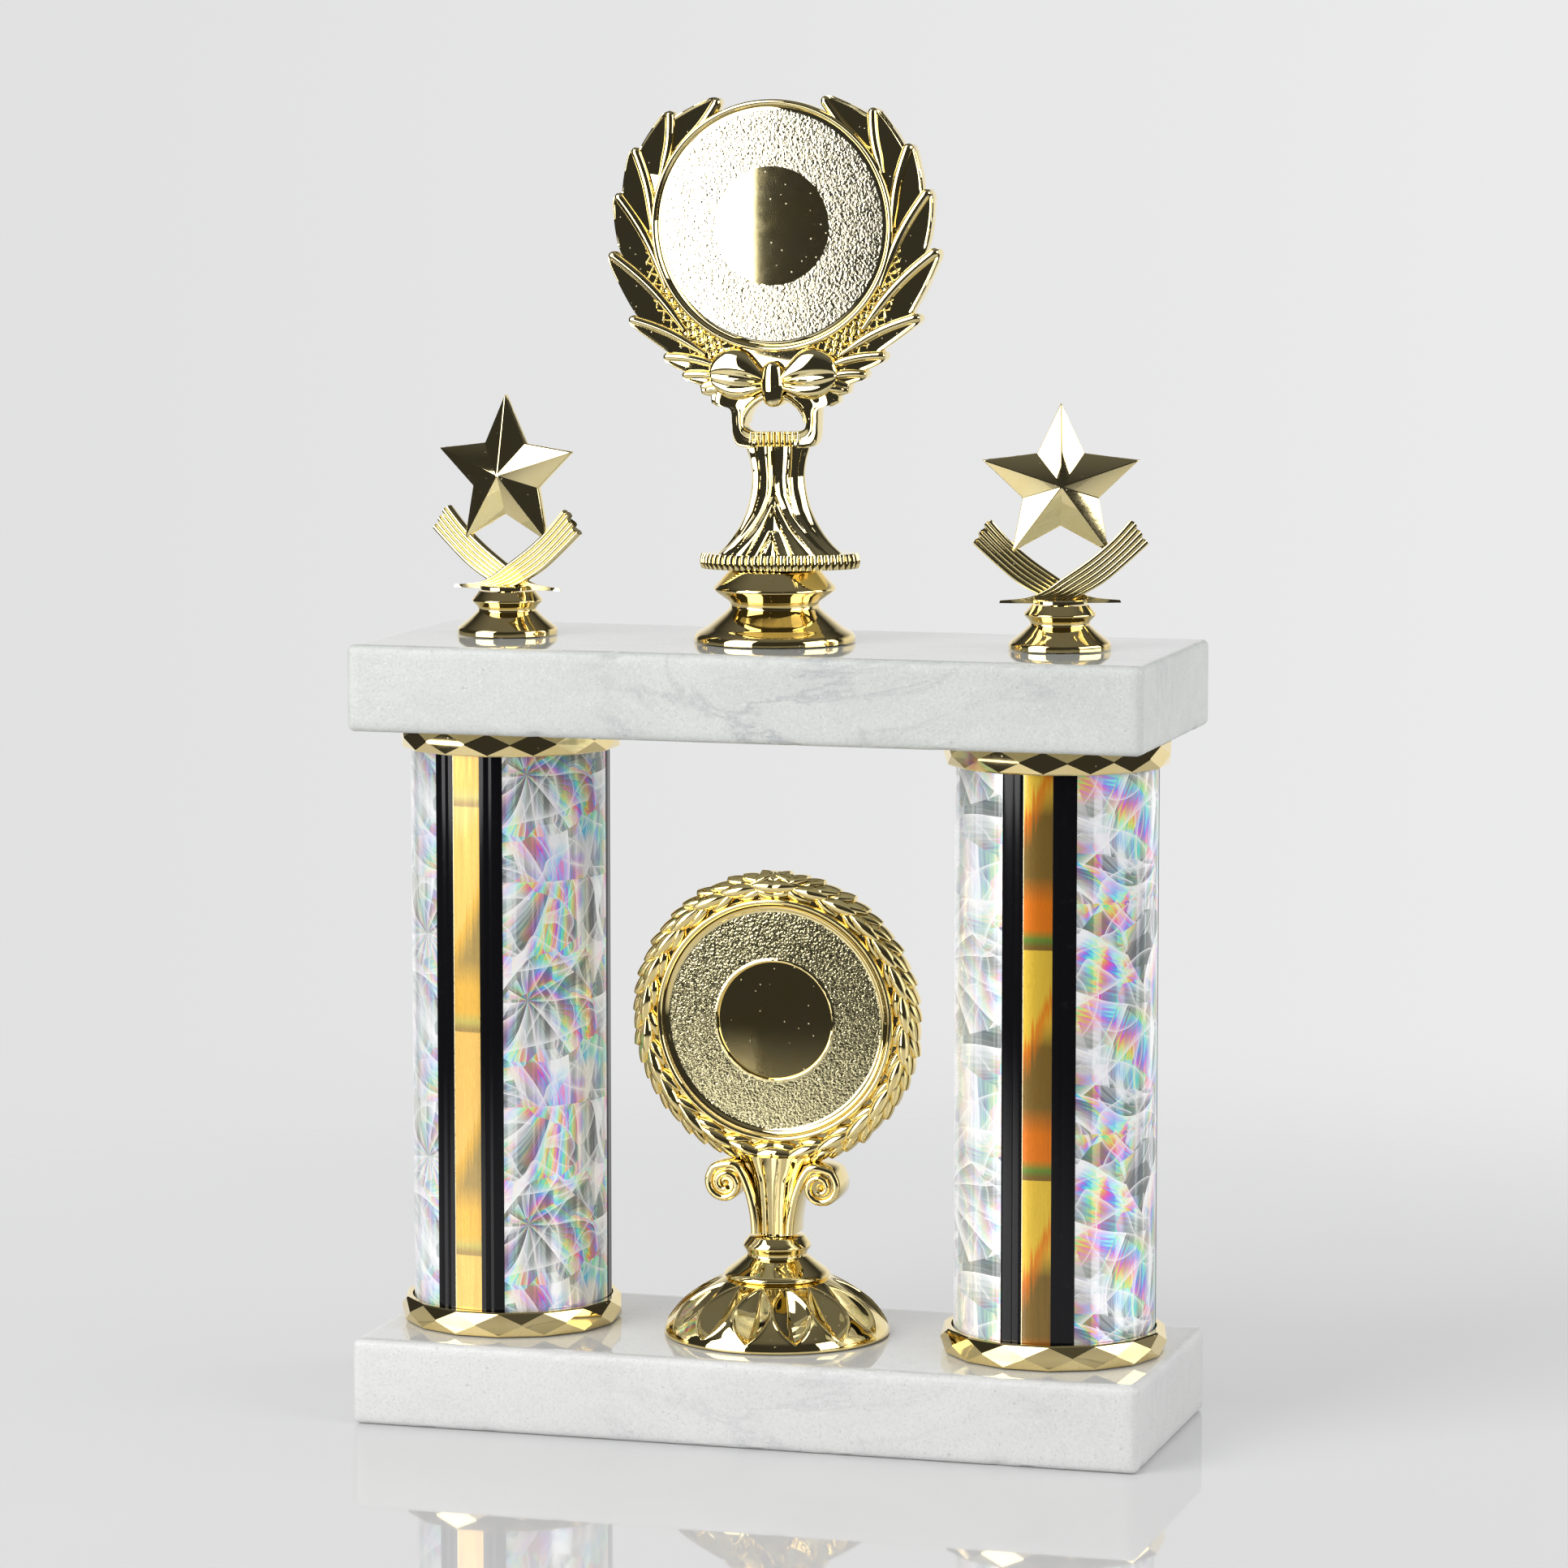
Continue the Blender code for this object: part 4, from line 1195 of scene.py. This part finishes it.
def top_figure_skin():
    skin = Skin()
    lift = TOP_HOLDER_LIFT
    holder_skin(skin, lift, TOP_HOLDER, (12.9, 25.2), 0.008)
    ends = [(tip, root) for tip, root, _ in TOP_LEAVES] + [LAST_LEAF_AFTER]
    for side in (-1, 1):
        for index, (_, _, share) in enumerate(TOP_LEAVES):
            stand = 0.7 + 0.13 * index
            wreath_leaf(skin, lift, side, ends[index], ends[index + 1], share, stand)
        backing = [polar(side * angle, 28.6, lift) for angle in range(34, 173, 6)]
        low, high = offset_edges(backing, lambda t: 1.9 - 0.6 * (1 - t))
        band(skin, low, high, lambda s, t: 1.1, along=50, across=2)
        for face in (FRONT, BACK):
            net_skin(skin, lift, side, face)
        for low, high, sizes in BOW_PARTS:
            depth = loop_depth(*sizes)
            band(skin, mirrored(low, side), mirrored(high, side), depth, along=34, across=40)
        band(skin, mirrored(LEG_INNER, side), mirrored(LEG_OUTER, side), leg_depth, along=44, across=18)
        low, high = offset_edges(curve(mirrored(TAIL, side), 14), lambda t: 0.62 - 0.2 * t)
        band(skin, low, high, lambda s, t: 2.5 + 0.75 * dome(s), along=20, across=10)
    plate = [(-13.6, 44.0), (13.6, 44.0)], [(-11.0, 50.4), (11.0, 50.4)]
    band(skin, *plate, lambda s, t: 1.9 - 0.35 * sin(pi * s), along=10, across=10)

    def knot_depth(s, t):
        return 2.2 + 2.9 * dome(s) * dome(t) ** 0.6

    band(skin, mirrored(KNOT, -1), KNOT, knot_depth, along=30, across=20)
    cross_bar = [(-6.4, 26.3), (6.4, 26.3)], [(-6.4, 29.9), (6.4, 29.9)]
    band(skin, *cross_bar, lambda s, t: 2.1, along=6, across=4)

    def rib_depth(s, t):
        return 2.2 + 0.75 * dome(s) * sin(pi * (0.08 + 0.84 * t)) ** 0.4

    for index in range(10):
        x = -5.35 + index * 10.7 / 9
        low, high = ([(x + aside, z) for z in (26.4, 28.1, 29.9)] for aside in (-0.46, 0.46))
        band(skin, low, high, rib_depth, along=10, across=10)
    ribbed_stem(skin, TOP_STEM, TOP_RIBS, 1.15, 0.75, 90, 260)
    beaded_collar(skin, 18.1, 9.5, 0.0, 3.3, 58)
    return skin


# The lower figure


LOWER_STEM = [
    (0.0, 4.35, 4.1), (1.5, 4.4, 4.15), (4.0, 4.55, 4.25), (7.0, 4.8, 4.4), (10.0, 5.1, 4.6),
    (13.0, 5.6, 4.8), (15.5, 6.6, 5.0), (17.6, 8.2, 5.1),
]
LOWER_RIBS = [
    [(-1.0, 0.75), (6.0, 0.8), (12.0, 1.1), (18.0, 1.9)],
    [(-1.0, 2.3), (6.0, 2.4), (12.0, 2.9), (18.0, 4.7)],
    [(-1.0, 3.7), (6.0, 3.8), (12.0, 4.5), (18.0, 7.2)],
]


# The middle of a scroll's eye, as (x, z).
SCROLL_EYE = (10.9, 11.35)


def scroll_path():
    """The line of a scroll, up the stem's edge, over and round into its eye."""
    path = [(3.9, 0.4), (4.1, 3.5), (4.7, 7.0), (5.7, 10.4), (7.1, 13.6), (9.0, 15.6)]
    turns = 1.55
    for step in range(1, 27):
        t = step / 26
        angle = pi / 2 - 0.15 - 2 * pi * turns * t
        radius = 4.35 - 3.3 * t**0.9
        path.append((SCROLL_EYE[0] + radius * cos(angle), SCROLL_EYE[1] + radius * sin(angle)))
    return path


def laurel_leaf(skin, lift, side, angle, radius, lean, length, half_width, stand):
    """A plump pointed leaf that climbs round the holder."""
    x, z = polar(side * angle, radius, lift)
    heading = radians(side * angle) - side * (pi / 2 + lean)
    run = Vector((sin(heading), cos(heading)))
    path = [(x + run.x * length * (k / 6 - 0.5), z + run.y * length * (k / 6 - 0.5)) for k in range(7)]

    def half(t):
        return half_width * (0.1 + 0.9 * sin(pi * min(1, 0.1 + 0.86 * t)) ** 0.75)

    def depth(s, t):
        across = 0.8 * dome(s) + 0.2 * (1 - abs(2 * s - 1))
        crown = sin(pi * (0.09 + 0.84 * t)) ** 0.6
        return stand - 1.8 + 2.0 * across * crown

    band(skin, *offset_edges(path, half), depth, along=20, across=16)


LOWER_HOLDER_LIFT = 47.95
LOWER_HOLDER = [
    (12.85, 1.35), (12.95, 1.5), (13.1, 1.98), (13.35, 2.06), (13.6, 1.9), (24.3, 1.9), (24.6, 2.05),
    (24.9, 2.45), (25.25, 2.5), (25.5, 2.15), (25.75, 2.15), (26.05, 2.7), (26.5, 2.85), (26.9, 2.7),
    (27.15, 2.1), (27.2, 0.9),
]
LAUREL_STATIONS = 14
# A station's leaves: share of a station on, radius, lean, jitter's share, length, half width and stand.
LAUREL_LEAVES = (
    (0.15, 31.0, 0.42, 1, 7.6, 1.5, 2.2),
    (0.65, 31.0, 0.3, -1, 7.6, 1.45, 2.7),
    (0.45, 28.5, -0.26, -1, 7.4, 1.5, 2.8),
    (0.0, 29.75, 0.1, 1, 8.6, 1.75, 3.5),
)


def scroll_core(skin, side):
    """The plug in a scroll's middle, with a bead on each end."""
    x, z = side * SCROLL_EYE[0], SCROLL_EYE[1]
    core = Skin()
    turned(core, [(3.7, 3.5), (3.7, -3.5), (0.01, -3.5), (0.01, 3.5)], 40)
    skin.faces.extend(tuple(len(skin.points) + i for i in face) for face in core.faces)
    skin.finishes.extend(core.finishes)
    skin.points.extend((x + px, pz, z + py) for px, py, pz in core.points)
    bead(skin, (x, 0, z), (1.1, 4.95, 1.1), 10)


def lower_figure_skin():
    skin = Skin()
    lift = LOWER_HOLDER_LIFT
    holder_skin(skin, lift, LOWER_HOLDER, (13.6, 24.3), 0.007)

    def strip_depth(s, t):
        return 3.7 + 0.9 * dome(s) + 0.25 * between(t, 0.3, 1.0)

    for side in (-1, 1):
        backing = [polar(side * angle, 29.0, lift) for angle in range(0, 187, 6)]
        band(skin, *offset_edges(backing, lambda t: 2.1), lambda s, t: 1.35, along=60, across=2)
        shift = 179 / (LAUREL_STATIONS - 1)
        for index in range(LAUREL_STATIONS):
            jitter = 0.06 * sin(index * 2.4)
            for on, radius, lean, share, *sizes in LAUREL_LEAVES:
                angle = 181 - (index + on) * shift
                laurel_leaf(skin, lift, side, angle, radius, lean + share * jitter, *sizes)
        for angle, radius in ((3, 31.6), (0, 30.4), (-2, 31.8)):
            x, z = polar(side * angle, radius, lift)
            bead(skin, (x, 0, z), (0.8, 2.2, 0.8), 8)
        low, high = offset_edges(curve(mirrored(scroll_path(), side), 120), lambda t: 1.05 - 0.4 * t)
        band(skin, low, high, strip_depth, along=120, across=10)
        scroll_core(skin, side)
    ribbed_stem(skin, LOWER_STEM, LOWER_RIBS, 0.75, 0.75, 60, 240)
    return skin


# Settings


def length_setting(name, description, default):
    return bpy.props.FloatProperty(
        name=name, description=description, default=default, min=0.0, precision=4, unit="LENGTH"
    )


def colour_setting(name, description, default):
    return bpy.props.FloatVectorProperty(
        name=name, description=description, default=default, subtype="COLOR", size=3, min=0.0, max=1.0
    )


def angle_setting(name, description, default):
    return bpy.props.FloatProperty(
        name=name, description=description, default=radians(default), subtype="ANGLE"
    )


class AwardSizes(bpy.types.PropertyGroup):
    """Sizes that a maker of the award would change."""

    slab_bevel: length_setting("Slab bevel", "Width of the broken edge round each slab", 0.0014)
    film_radius: length_setting("Film radius", "Outer radius of a wrapped column", 0.022225)
    film_wall: length_setting("Film wall", "Thickness of the wrap", 0.0004)
    ring_crest: length_setting("Ring crest", "Radius of a ring at its crease", 0.0249)
    ring_height: length_setting("Ring height", "Height of a column ring", 0.0054)
    petal_depth: length_setting("Petal depth", "Depth of the hollows in the foot", 0.0022)
    petals: bpy.props.IntProperty(name="Petals", description="Hollows round the foot", default=14, min=3)
    left_stripe_turn: angle_setting("Left stripe turn", "Turn of the left stripes from the front", -7.0)
    right_stripe_turn: angle_setting("Right stripe turn", "Turn of the right stripes from the front", 4.0)
    left_star_turn: angle_setting("Left star turn", "Turn of the left star at rest", -11.5)
    right_star_turn: angle_setting("Right star turn", "Turn of the right star at rest", 16.0)
    wreath_lean: angle_setting("Wreath lean", "Sideways lean of the top figure", -1.0)


class AwardFinishes(bpy.types.PropertyGroup):
    """Colours that a maker of the award would change."""

    figure_gilt: colour_setting("Figure gilt", "Plating of the moulded figures", (0.93, 0.80, 0.44))
    riser_gilt: colour_setting("Riser gilt", "Deeper plating of the turned risers", (0.93, 0.75, 0.36))
    foot_gilt: colour_setting("Foot gilt", "Plating of the petalled foot", (0.93, 0.77, 0.38))
    ring_gilt: colour_setting("Ring gilt", "Plating of the column rings", (0.93, 0.77, 0.40))
    base_marble: colour_setting("Base marble", "Ground of the base slab", (0.68, 0.68, 0.672))
    top_marble: colour_setting("Top marble", "Ground of the top slab", (0.575, 0.59, 0.565))
    marble_cloud: colour_setting("Marble cloud", "Grey clouds in both slabs", (0.50, 0.52, 0.505))
    stripe_gold: colour_setting("Stripe gold", "Main tone of the gold stripe", (0.97, 0.64, 0.06))
    floor: colour_setting("Floor", "Studio floor", (0.60, 0.60, 0.605))


# Operators


class AwardOperator(bpy.types.Operator):
    bl_options = {"REGISTER", "UNDO"}

    @property
    def sizes(self):
        return bpy.context.scene.award_sizes

    @property
    def finishes(self):
        return bpy.context.scene.award_finishes


def box_of(node):
    low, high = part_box(node)
    return low, high, (low + high) / 2


# Where the columns' rods and the lower figure's stud are along the slabs, from their middle.
ROD_AT = 63.0
LOWER_FIGURE_AT = -0.7
# How far a figure's skin stands above its riser, in metres.
SEAT_GAP = 0.0003


def through_hole(x, radius):
    """A hole of (x, radius, low, high) that passes right through a slab."""
    return x, radius, -1.0, 21.0


def counterbore(x):
    return x, 10.5, -1.0, 10.0


class AWARD_OT_slabs(AwardOperator):
    """Build the base slab and the top slab from marble, drilled and counterbored"""

    bl_idname = "award.slabs"
    bl_label = "Marble slabs"

    def execute(self, context):
        rods = [through_hole(x, 4.0) for x in (-ROD_AT, ROD_AT)]
        pockets = [counterbore(x) for x in (-ROD_AT, LOWER_FIGURE_AT, ROD_AT)]
        base_holes = [*rods, *pockets, through_hole(LOWER_FIGURE_AT, 3.0)]
        top_holes = [*rods, counterbore(0.0), through_hole(0.0, 3.0)]
        slabs = (
            ("base_slab", self.finishes.base_marble, 0.3, 0.25, 3.0, base_holes),
            ("top_slab", self.finishes.top_marble, 0.85, 0.6, 8.0, top_holes),
        )
        for node, ground, cloudiness, vein, seed, holes in slabs:
            low, high, middle = box_of(node)
            size = (high - low) / MM
            skin = Skin()
            slab_skin(skin, *size, self.sizes.slab_bevel / MM, seed, holes)
            cloud = self.finishes.marble_cloud
            marble = marble_finish(f"{node}_marble", ground, cloud, cloudiness, vein)
            make_piece(skin, node + "_stone", [marble], "root", [node], middle, sharp=30)
        return {"FINISHED"}


class AWARD_OT_columns(AwardOperator):
    """Build both film wraps with their stripes, and give the tubes inside them their board"""

    bl_idname = "award.columns"
    bl_label = "Wrapped columns"

    def execute(self, context):
        radius, wall = self.sizes.film_radius / MM, self.sizes.film_wall / MM
        gold = tuple(self.finishes.stripe_gold)
        tones = {
            "left": ((0.87, 0.53, 0.13), (0.80, 0.46, 0.07), (0.40, 0.27, 0.08), (0.58, 0.48, 0.12)),
            "right": (gold, (0.95, 0.24, 0.01), (0.27, 0.16, 0.03), (0.16, 0.32, 0.04)),
        }
        stripe_starts = {"left": 16.5, "right": 40.0}
        # Painted light: where round each column, in millimetres from its front, the film's contrast and
        # rainbow grow.
        painted_light_span = {"left": (-20.0, 4.0), "right": (-16.0, 9.0)}
        ink = ink_finish("stripe_ink")
        edge = edge_finish("stripe_edge")
        board = board_finish("wound_board")
        turns = (self.sizes.left_stripe_turn, self.sizes.right_stripe_turn)
        for side, turn, seed in zip(SIDES, turns, (1.0, 4.0)):
            node = f"column_film_{side}"
            low, high, middle = box_of(node)
            skin = column_skin(radius, (high.z - low.z) / MM, wall, turn * 180 / pi)
            finishes = [
                prism_finish(f"prism_film_{side}", radius, seed, *painted_light_span[side]),
                ink,
                stripe_finish(f"stripe_gold_{side}", tones[side], stripe_starts[side]),
                edge,
            ]
            origin = (middle.x, middle.y, low.z)
            make_piece(skin, f"column_wrap_{side}", finishes, "root", [node], origin)
            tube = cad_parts[f"column_tube_{side}"]
            tube.data.materials.clear()
            tube.data.materials.append(board)
        return {"FINISHED"}


class AWARD_OT_rings(AwardOperator):
    """Build the four faceted rings that the columns' ends sit in"""

    bl_idname = "award.rings"
    bl_label = "Column rings"

    def execute(self, context):
        gilt = gilt_finish("ring_gilt", tuple(self.finishes.ring_gilt), 0.045, 0.15)
        height, crest = self.sizes.ring_height / MM, self.sizes.ring_crest / MM
        for side in SIDES:
            for level in ("lower", "upper"):
                node = f"{level}_ring_{side}"
                low, high, middle = box_of(node)
                skin = ring_skin(height, crest, socket=22.525, floor=0.8, bore=4.0)
                if level == "lower":
                    origin, tilt = (middle.x, middle.y, low.z), (0, 0, radians(5))
                else:
                    origin, tilt = (middle.x, middle.y, high.z), (pi, 0, 0)
                make_piece(
                    skin, f"{node}_gilt", [gilt], "root", [node], origin, tilt, sharp=3
                )
        return {"FINISHED"}


class AWARD_OT_risers(AwardOperator):
    """Build the turned risers under the stars and under the top figure"""

    bl_idname = "award.risers"
    bl_label = "Turned risers"

    def execute(self, context):
        gilt = gilt_finish("riser_gilt", tuple(self.finishes.riser_gilt), 0.045, 0.2)
        pieces = [(f"star_riser_{side}", STAR_RISER, 3.475, 0.35) for side in SIDES]
        for node, profile, bore, soft in [*pieces, ("top_riser", TOP_RISER, 4.5, 0.45)]:
            low, _, middle = box_of(node)
            skin = riser_skin(profile, bore, soft)
            origin = (middle.x, middle.y, low.z)
            make_piece(skin, f"{node}_gilt", [gilt], "root", [node], origin, sharp=50)
        return {"FINISHED"}


class AWARD_OT_foot(AwardOperator):
    """Build the petalled foot of the lower figure"""

    bl_idname = "award.foot"
    bl_label = "Petalled foot"

    def execute(self, context):
        gilt = gilt_finish("foot_gilt", tuple(self.finishes.foot_gilt), 0.032, 0.12)
        low, _, middle = box_of("lower_foot")
        skin = foot_skin(self.sizes.petals, bore=2.7, petal_depth=self.sizes.petal_depth / MM)
        origin = (middle.x, middle.y, low.z)
        make_piece(skin, "lower_foot_gilt", [gilt], "root", ["lower_foot"], origin, sharp=60)
        return {"FINISHED"}


class AWARD_OT_stars(AwardOperator):
    """Build the two star figures on their crossed ribbons"""

    bl_idname = "award.stars"
    bl_label = "Star figures"

    def execute(self, context):
        gilt = gilt_finish("star_gilt", tuple(self.finishes.figure_gilt), 0.04, 0.5)
        turns = (self.sizes.left_star_turn, self.sizes.right_star_turn)
        for side, turn in zip(SIDES, turns):
            _, riser_top, middle = box_of(f"star_riser_{side}")
            skin = star_figure_skin(bore_depth=3.1)
            origin = (middle.x, middle.y, riser_top.z)
            make_piece(
                skin, f"star_{side}_gilt", [gilt], f"{side}_star", [f"star_figure_{side}"],
                origin, (0, 0, turn), sharp=28,
            )
        return {"FINISHED"}


class AWARD_OT_top_figure(AwardOperator):
    """Build the leafy wreath holder on its bow, handle, ribbed stem and beaded collar"""

    bl_idname = "award.top_figure"
    bl_label = "Top figure"

    def execute(self, context):
        colour = tuple(self.finishes.figure_gilt)
        finishes = [
            gilt_finish("top_gilt", colour, 0.022, 0.02),
            stipple_finish("top_stipple", (0.95, 0.88, 0.64), 0.00003),
        ]
        _, riser_top, _ = box_of("top_riser")
        _, _, stud = box_of("top_figure_stud")
        origin = (stud.x, stud.y, riser_top.z + SEAT_GAP)
        make_piece(
            top_figure_skin(), "top_figure_gilt", finishes, "top_wreath", ["top_figure"],
            origin, (0, self.sizes.wreath_lean, 0), sharp=48,
        )
        return {"FINISHED"}


class AWARD_OT_lower_figure(AwardOperator):
    """Build the laurel holder on its stem and scrolls"""

    bl_idname = "award.lower_figure"
    bl_label = "Lower figure"

    def execute(self, context):
        colour = tuple(self.finishes.foot_gilt)
        finishes = [
            gilt_finish("lower_gilt", colour, 0.03, 0.05),
            stipple_finish("lower_stipple", (0.88, 0.79, 0.45), 0.00005),
        ]
        _, foot_top, _ = box_of("lower_foot")
        _, _, stud = box_of("lower_figure_stud")
        origin = (stud.x, stud.y, foot_top.z + SEAT_GAP)
        make_piece(
            lower_figure_skin(), "lower_figure_gilt", finishes, "lower_wreath", ["lower_figure"],
            origin, sharp=48,
        )
        return {"FINISHED"}


class AWARD_OT_hardware(AwardOperator):
    """Give the hidden rods, studs, washers and nuts their zinc plating"""

    bl_idname = "award.hardware"
    bl_label = "Rods and nuts"

    def execute(self, context):
        steel = steel_finish("zinc_plate")
        for name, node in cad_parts.items():
            if name.startswith("tie_rod") or name.endswith(("_stud", "_washer", "_nut")):
                node.data.materials.clear()
                node.data.materials.append(steel)
        return {"FINISHED"}


# Stage


def light_box(name, start, end, low, high, strength):
    """A soft upright light box between two (x, y) points, hidden from the camera."""
    mesh = bpy.data.meshes.new(name)
    mesh.from_pydata([(*start, low), (*end, low), (*end, high), (*start, high)], [], [(0, 1, 2, 3)])
    panel = bpy.data.objects.new(name, mesh)
    bpy.context.scene.collection.objects.link(panel)
    material = bpy.data.materials.new(name)
    material.use_nodes = True
    tree = material.node_tree
    tree.nodes.clear()
    glow = add(tree, "Emission", {"Color": (1, 1, 1, 1), "Strength": strength})
    add(tree, "OutputMaterial", {"Surface": glow.outputs[0]})
    mesh.materials.append(material)
    panel.visible_camera = False
    panel.visible_shadow = False


def studio_floor(colour, radius=0.62):
    """A pale polished floor that fades into the backdrop at its rim."""
    steps = 96
    points = [(0, 0, 0), *circle(radius, 0, steps)]
    mesh = bpy.data.meshes.new("studio_floor")
    mesh.from_pydata(points, [], [(0, 1 + i, 1 + (i + 1) % steps) for i in range(steps)])
    floor = bpy.data.objects.new("studio_floor", mesh)
    bpy.context.scene.collection.objects.link(floor)
    material, tree, shader = new_finish("studio_floor")
    place = local(tree)
    tone = ramp(tree, grain(tree, 3, 2), (0.3, 0.97), (0.7, 1.0))
    tone = mix(tree, 1.0, (*colour, 1), tone, "MULTIPLY")
    feed(tree, shader, {"Base Color": tone, "Roughness": 0.03, "IOR": 1.45})
    feed(tree, shader, {"Emission Color": (1, 1, 1.005, 1), "Emission Strength": 0.03})
    away = add(tree, "VectorMath", {0: place}, operation="LENGTH").outputs["Value"]
    fade = add(tree, "MapRange", {0: away, 1: 0.24, 2: 0.56, 3: 0.0, 4: 1.0}, interpolation_type="SMOOTHSTEP")
    clear = add(tree, "BsdfTransparent")
    blend = add(tree, "MixShader", {0: fade.outputs[0], 1: shader.outputs[0], 2: clear.outputs[0]})
    feed(tree, tree.nodes["Material Output"], {"Surface": blend.outputs[0]})
    mesh.materials.append(material)


def studio_world():
    """A pale backdrop for the camera, a soft fill, and in reflections a dark room with a bright back wall."""
    world = bpy.data.worlds.new("studio")
    world.use_nodes = True
    tree = world.node_tree
    tree.nodes.clear()
    x, y, z = axes(tree, add(tree, "TexCoord").outputs["Generated"])
    rays = add(tree, "LightPath").outputs
    side = remap(tree, times(tree, x, 0.96, times(tree, y, 0.28)), -0.13, 0.13, 0.755, 0.83)
    seen = times(tree, side, ramp(tree, z, (0.0, 1.0), (0.12, 0.98), (1.0, 0.93)))
    back = ramp(tree, y, (0.60, 0.0), (0.72, 1.0))
    wall = times(tree, back, ramp(tree, z, (0.22, 1.0), (0.5, 0.0)))
    ceiling = ramp(tree, z, (0.55, 0.0), (0.9, 0.12))
    room = times(tree, wall, 0.85, maths(tree, "ADD", ceiling, 0.035))
    strength = 0.62
    for ray, other in (("Is Glossy Ray", room), ("Is Camera Ray", seen)):
        strength = add(tree, "Mix", {0: rays[ray], 2: strength, 3: other}, data_type="FLOAT").outputs[0]
    ground = add(tree, "Background", {"Color": (1.0, 1.0, 1.004, 1), "Strength": strength})
    add(tree, "OutputWorld", {"Surface": ground.outputs[0]})
    bpy.context.scene.world = world


class AWARD_OT_stage(AwardOperator):
    """Set up the pale floor, the soft light boxes, the backdrop and the camera"""

    bl_idname = "award.stage"
    bl_label = "Studio stage"

    def execute(self, context):
        studio_floor(self.finishes.floor)
        studio_world()
        light_box("left_light_box", (-0.4608, -1.54), (-1.386, -0.80), -0.05, 2.2, 4.5)
        light_box("right_light_box", (1.40, -0.80), (1.42, 0.75), 0.16, 1.15, 3.2)
        data = bpy.data.cameras.new("camera")
        data.lens = 137.83
        data.sensor_width = 36.0
        data.clip_start, data.clip_end = 0.05, 20.0
        camera = bpy.data.objects.new("camera", data)
        camera.location = (0.366391, -1.2573, 0.297297)
        camera.rotation_euler = (radians(83.223), 0.0, radians(16.209))
        context.scene.collection.objects.link(camera)
        context.scene.camera = camera
        context.scene.view_settings.view_transform = "Standard"
        return {"FINISHED"}


BUILDERS = (
    AWARD_OT_slabs,
    AWARD_OT_columns,
    AWARD_OT_rings,
    AWARD_OT_risers,
    AWARD_OT_foot,
    AWARD_OT_stars,
    AWARD_OT_top_figure,
    AWARD_OT_lower_figure,
    AWARD_OT_hardware,
    AWARD_OT_stage,
)


class AWARD_PT_build(bpy.types.Panel):
    """Sizes, finishes and builders of the award"""

    bl_idname = "AWARD_PT_build"
    bl_label = "Award"
    bl_space_type = "VIEW_3D"
    bl_region_type = "UI"
    bl_category = "Award"

    def draw(self, context):
        for group in (context.scene.award_sizes, context.scene.award_finishes):
            box = self.layout.box()
            for name in group.__annotations__:
                box.prop(group, name)
        for builder in BUILDERS:
            self.layout.operator(builder.bl_idname)


CLASSES = (AwardSizes, AwardFinishes, *BUILDERS, AWARD_PT_build)


def register():
    for item in CLASSES:
        bpy.utils.register_class(item)
    bpy.types.Scene.award_sizes = bpy.props.PointerProperty(type=AwardSizes)
    bpy.types.Scene.award_finishes = bpy.props.PointerProperty(type=AwardFinishes)


def unregister():
    del bpy.types.Scene.award_finishes
    del bpy.types.Scene.award_sizes
    for item in reversed(CLASSES):
        bpy.utils.unregister_class(item)


def main():
    register()
    for name in ("Cube", "Light", "Camera"):
        if name in bpy.data.objects:
            bpy.data.objects.remove(bpy.data.objects[name])
    for builder in BUILDERS:
        group, operator = builder.bl_idname.split(".")
        getattr(getattr(bpy.ops, group), operator)()


if __name__ == "__main__":
    main()
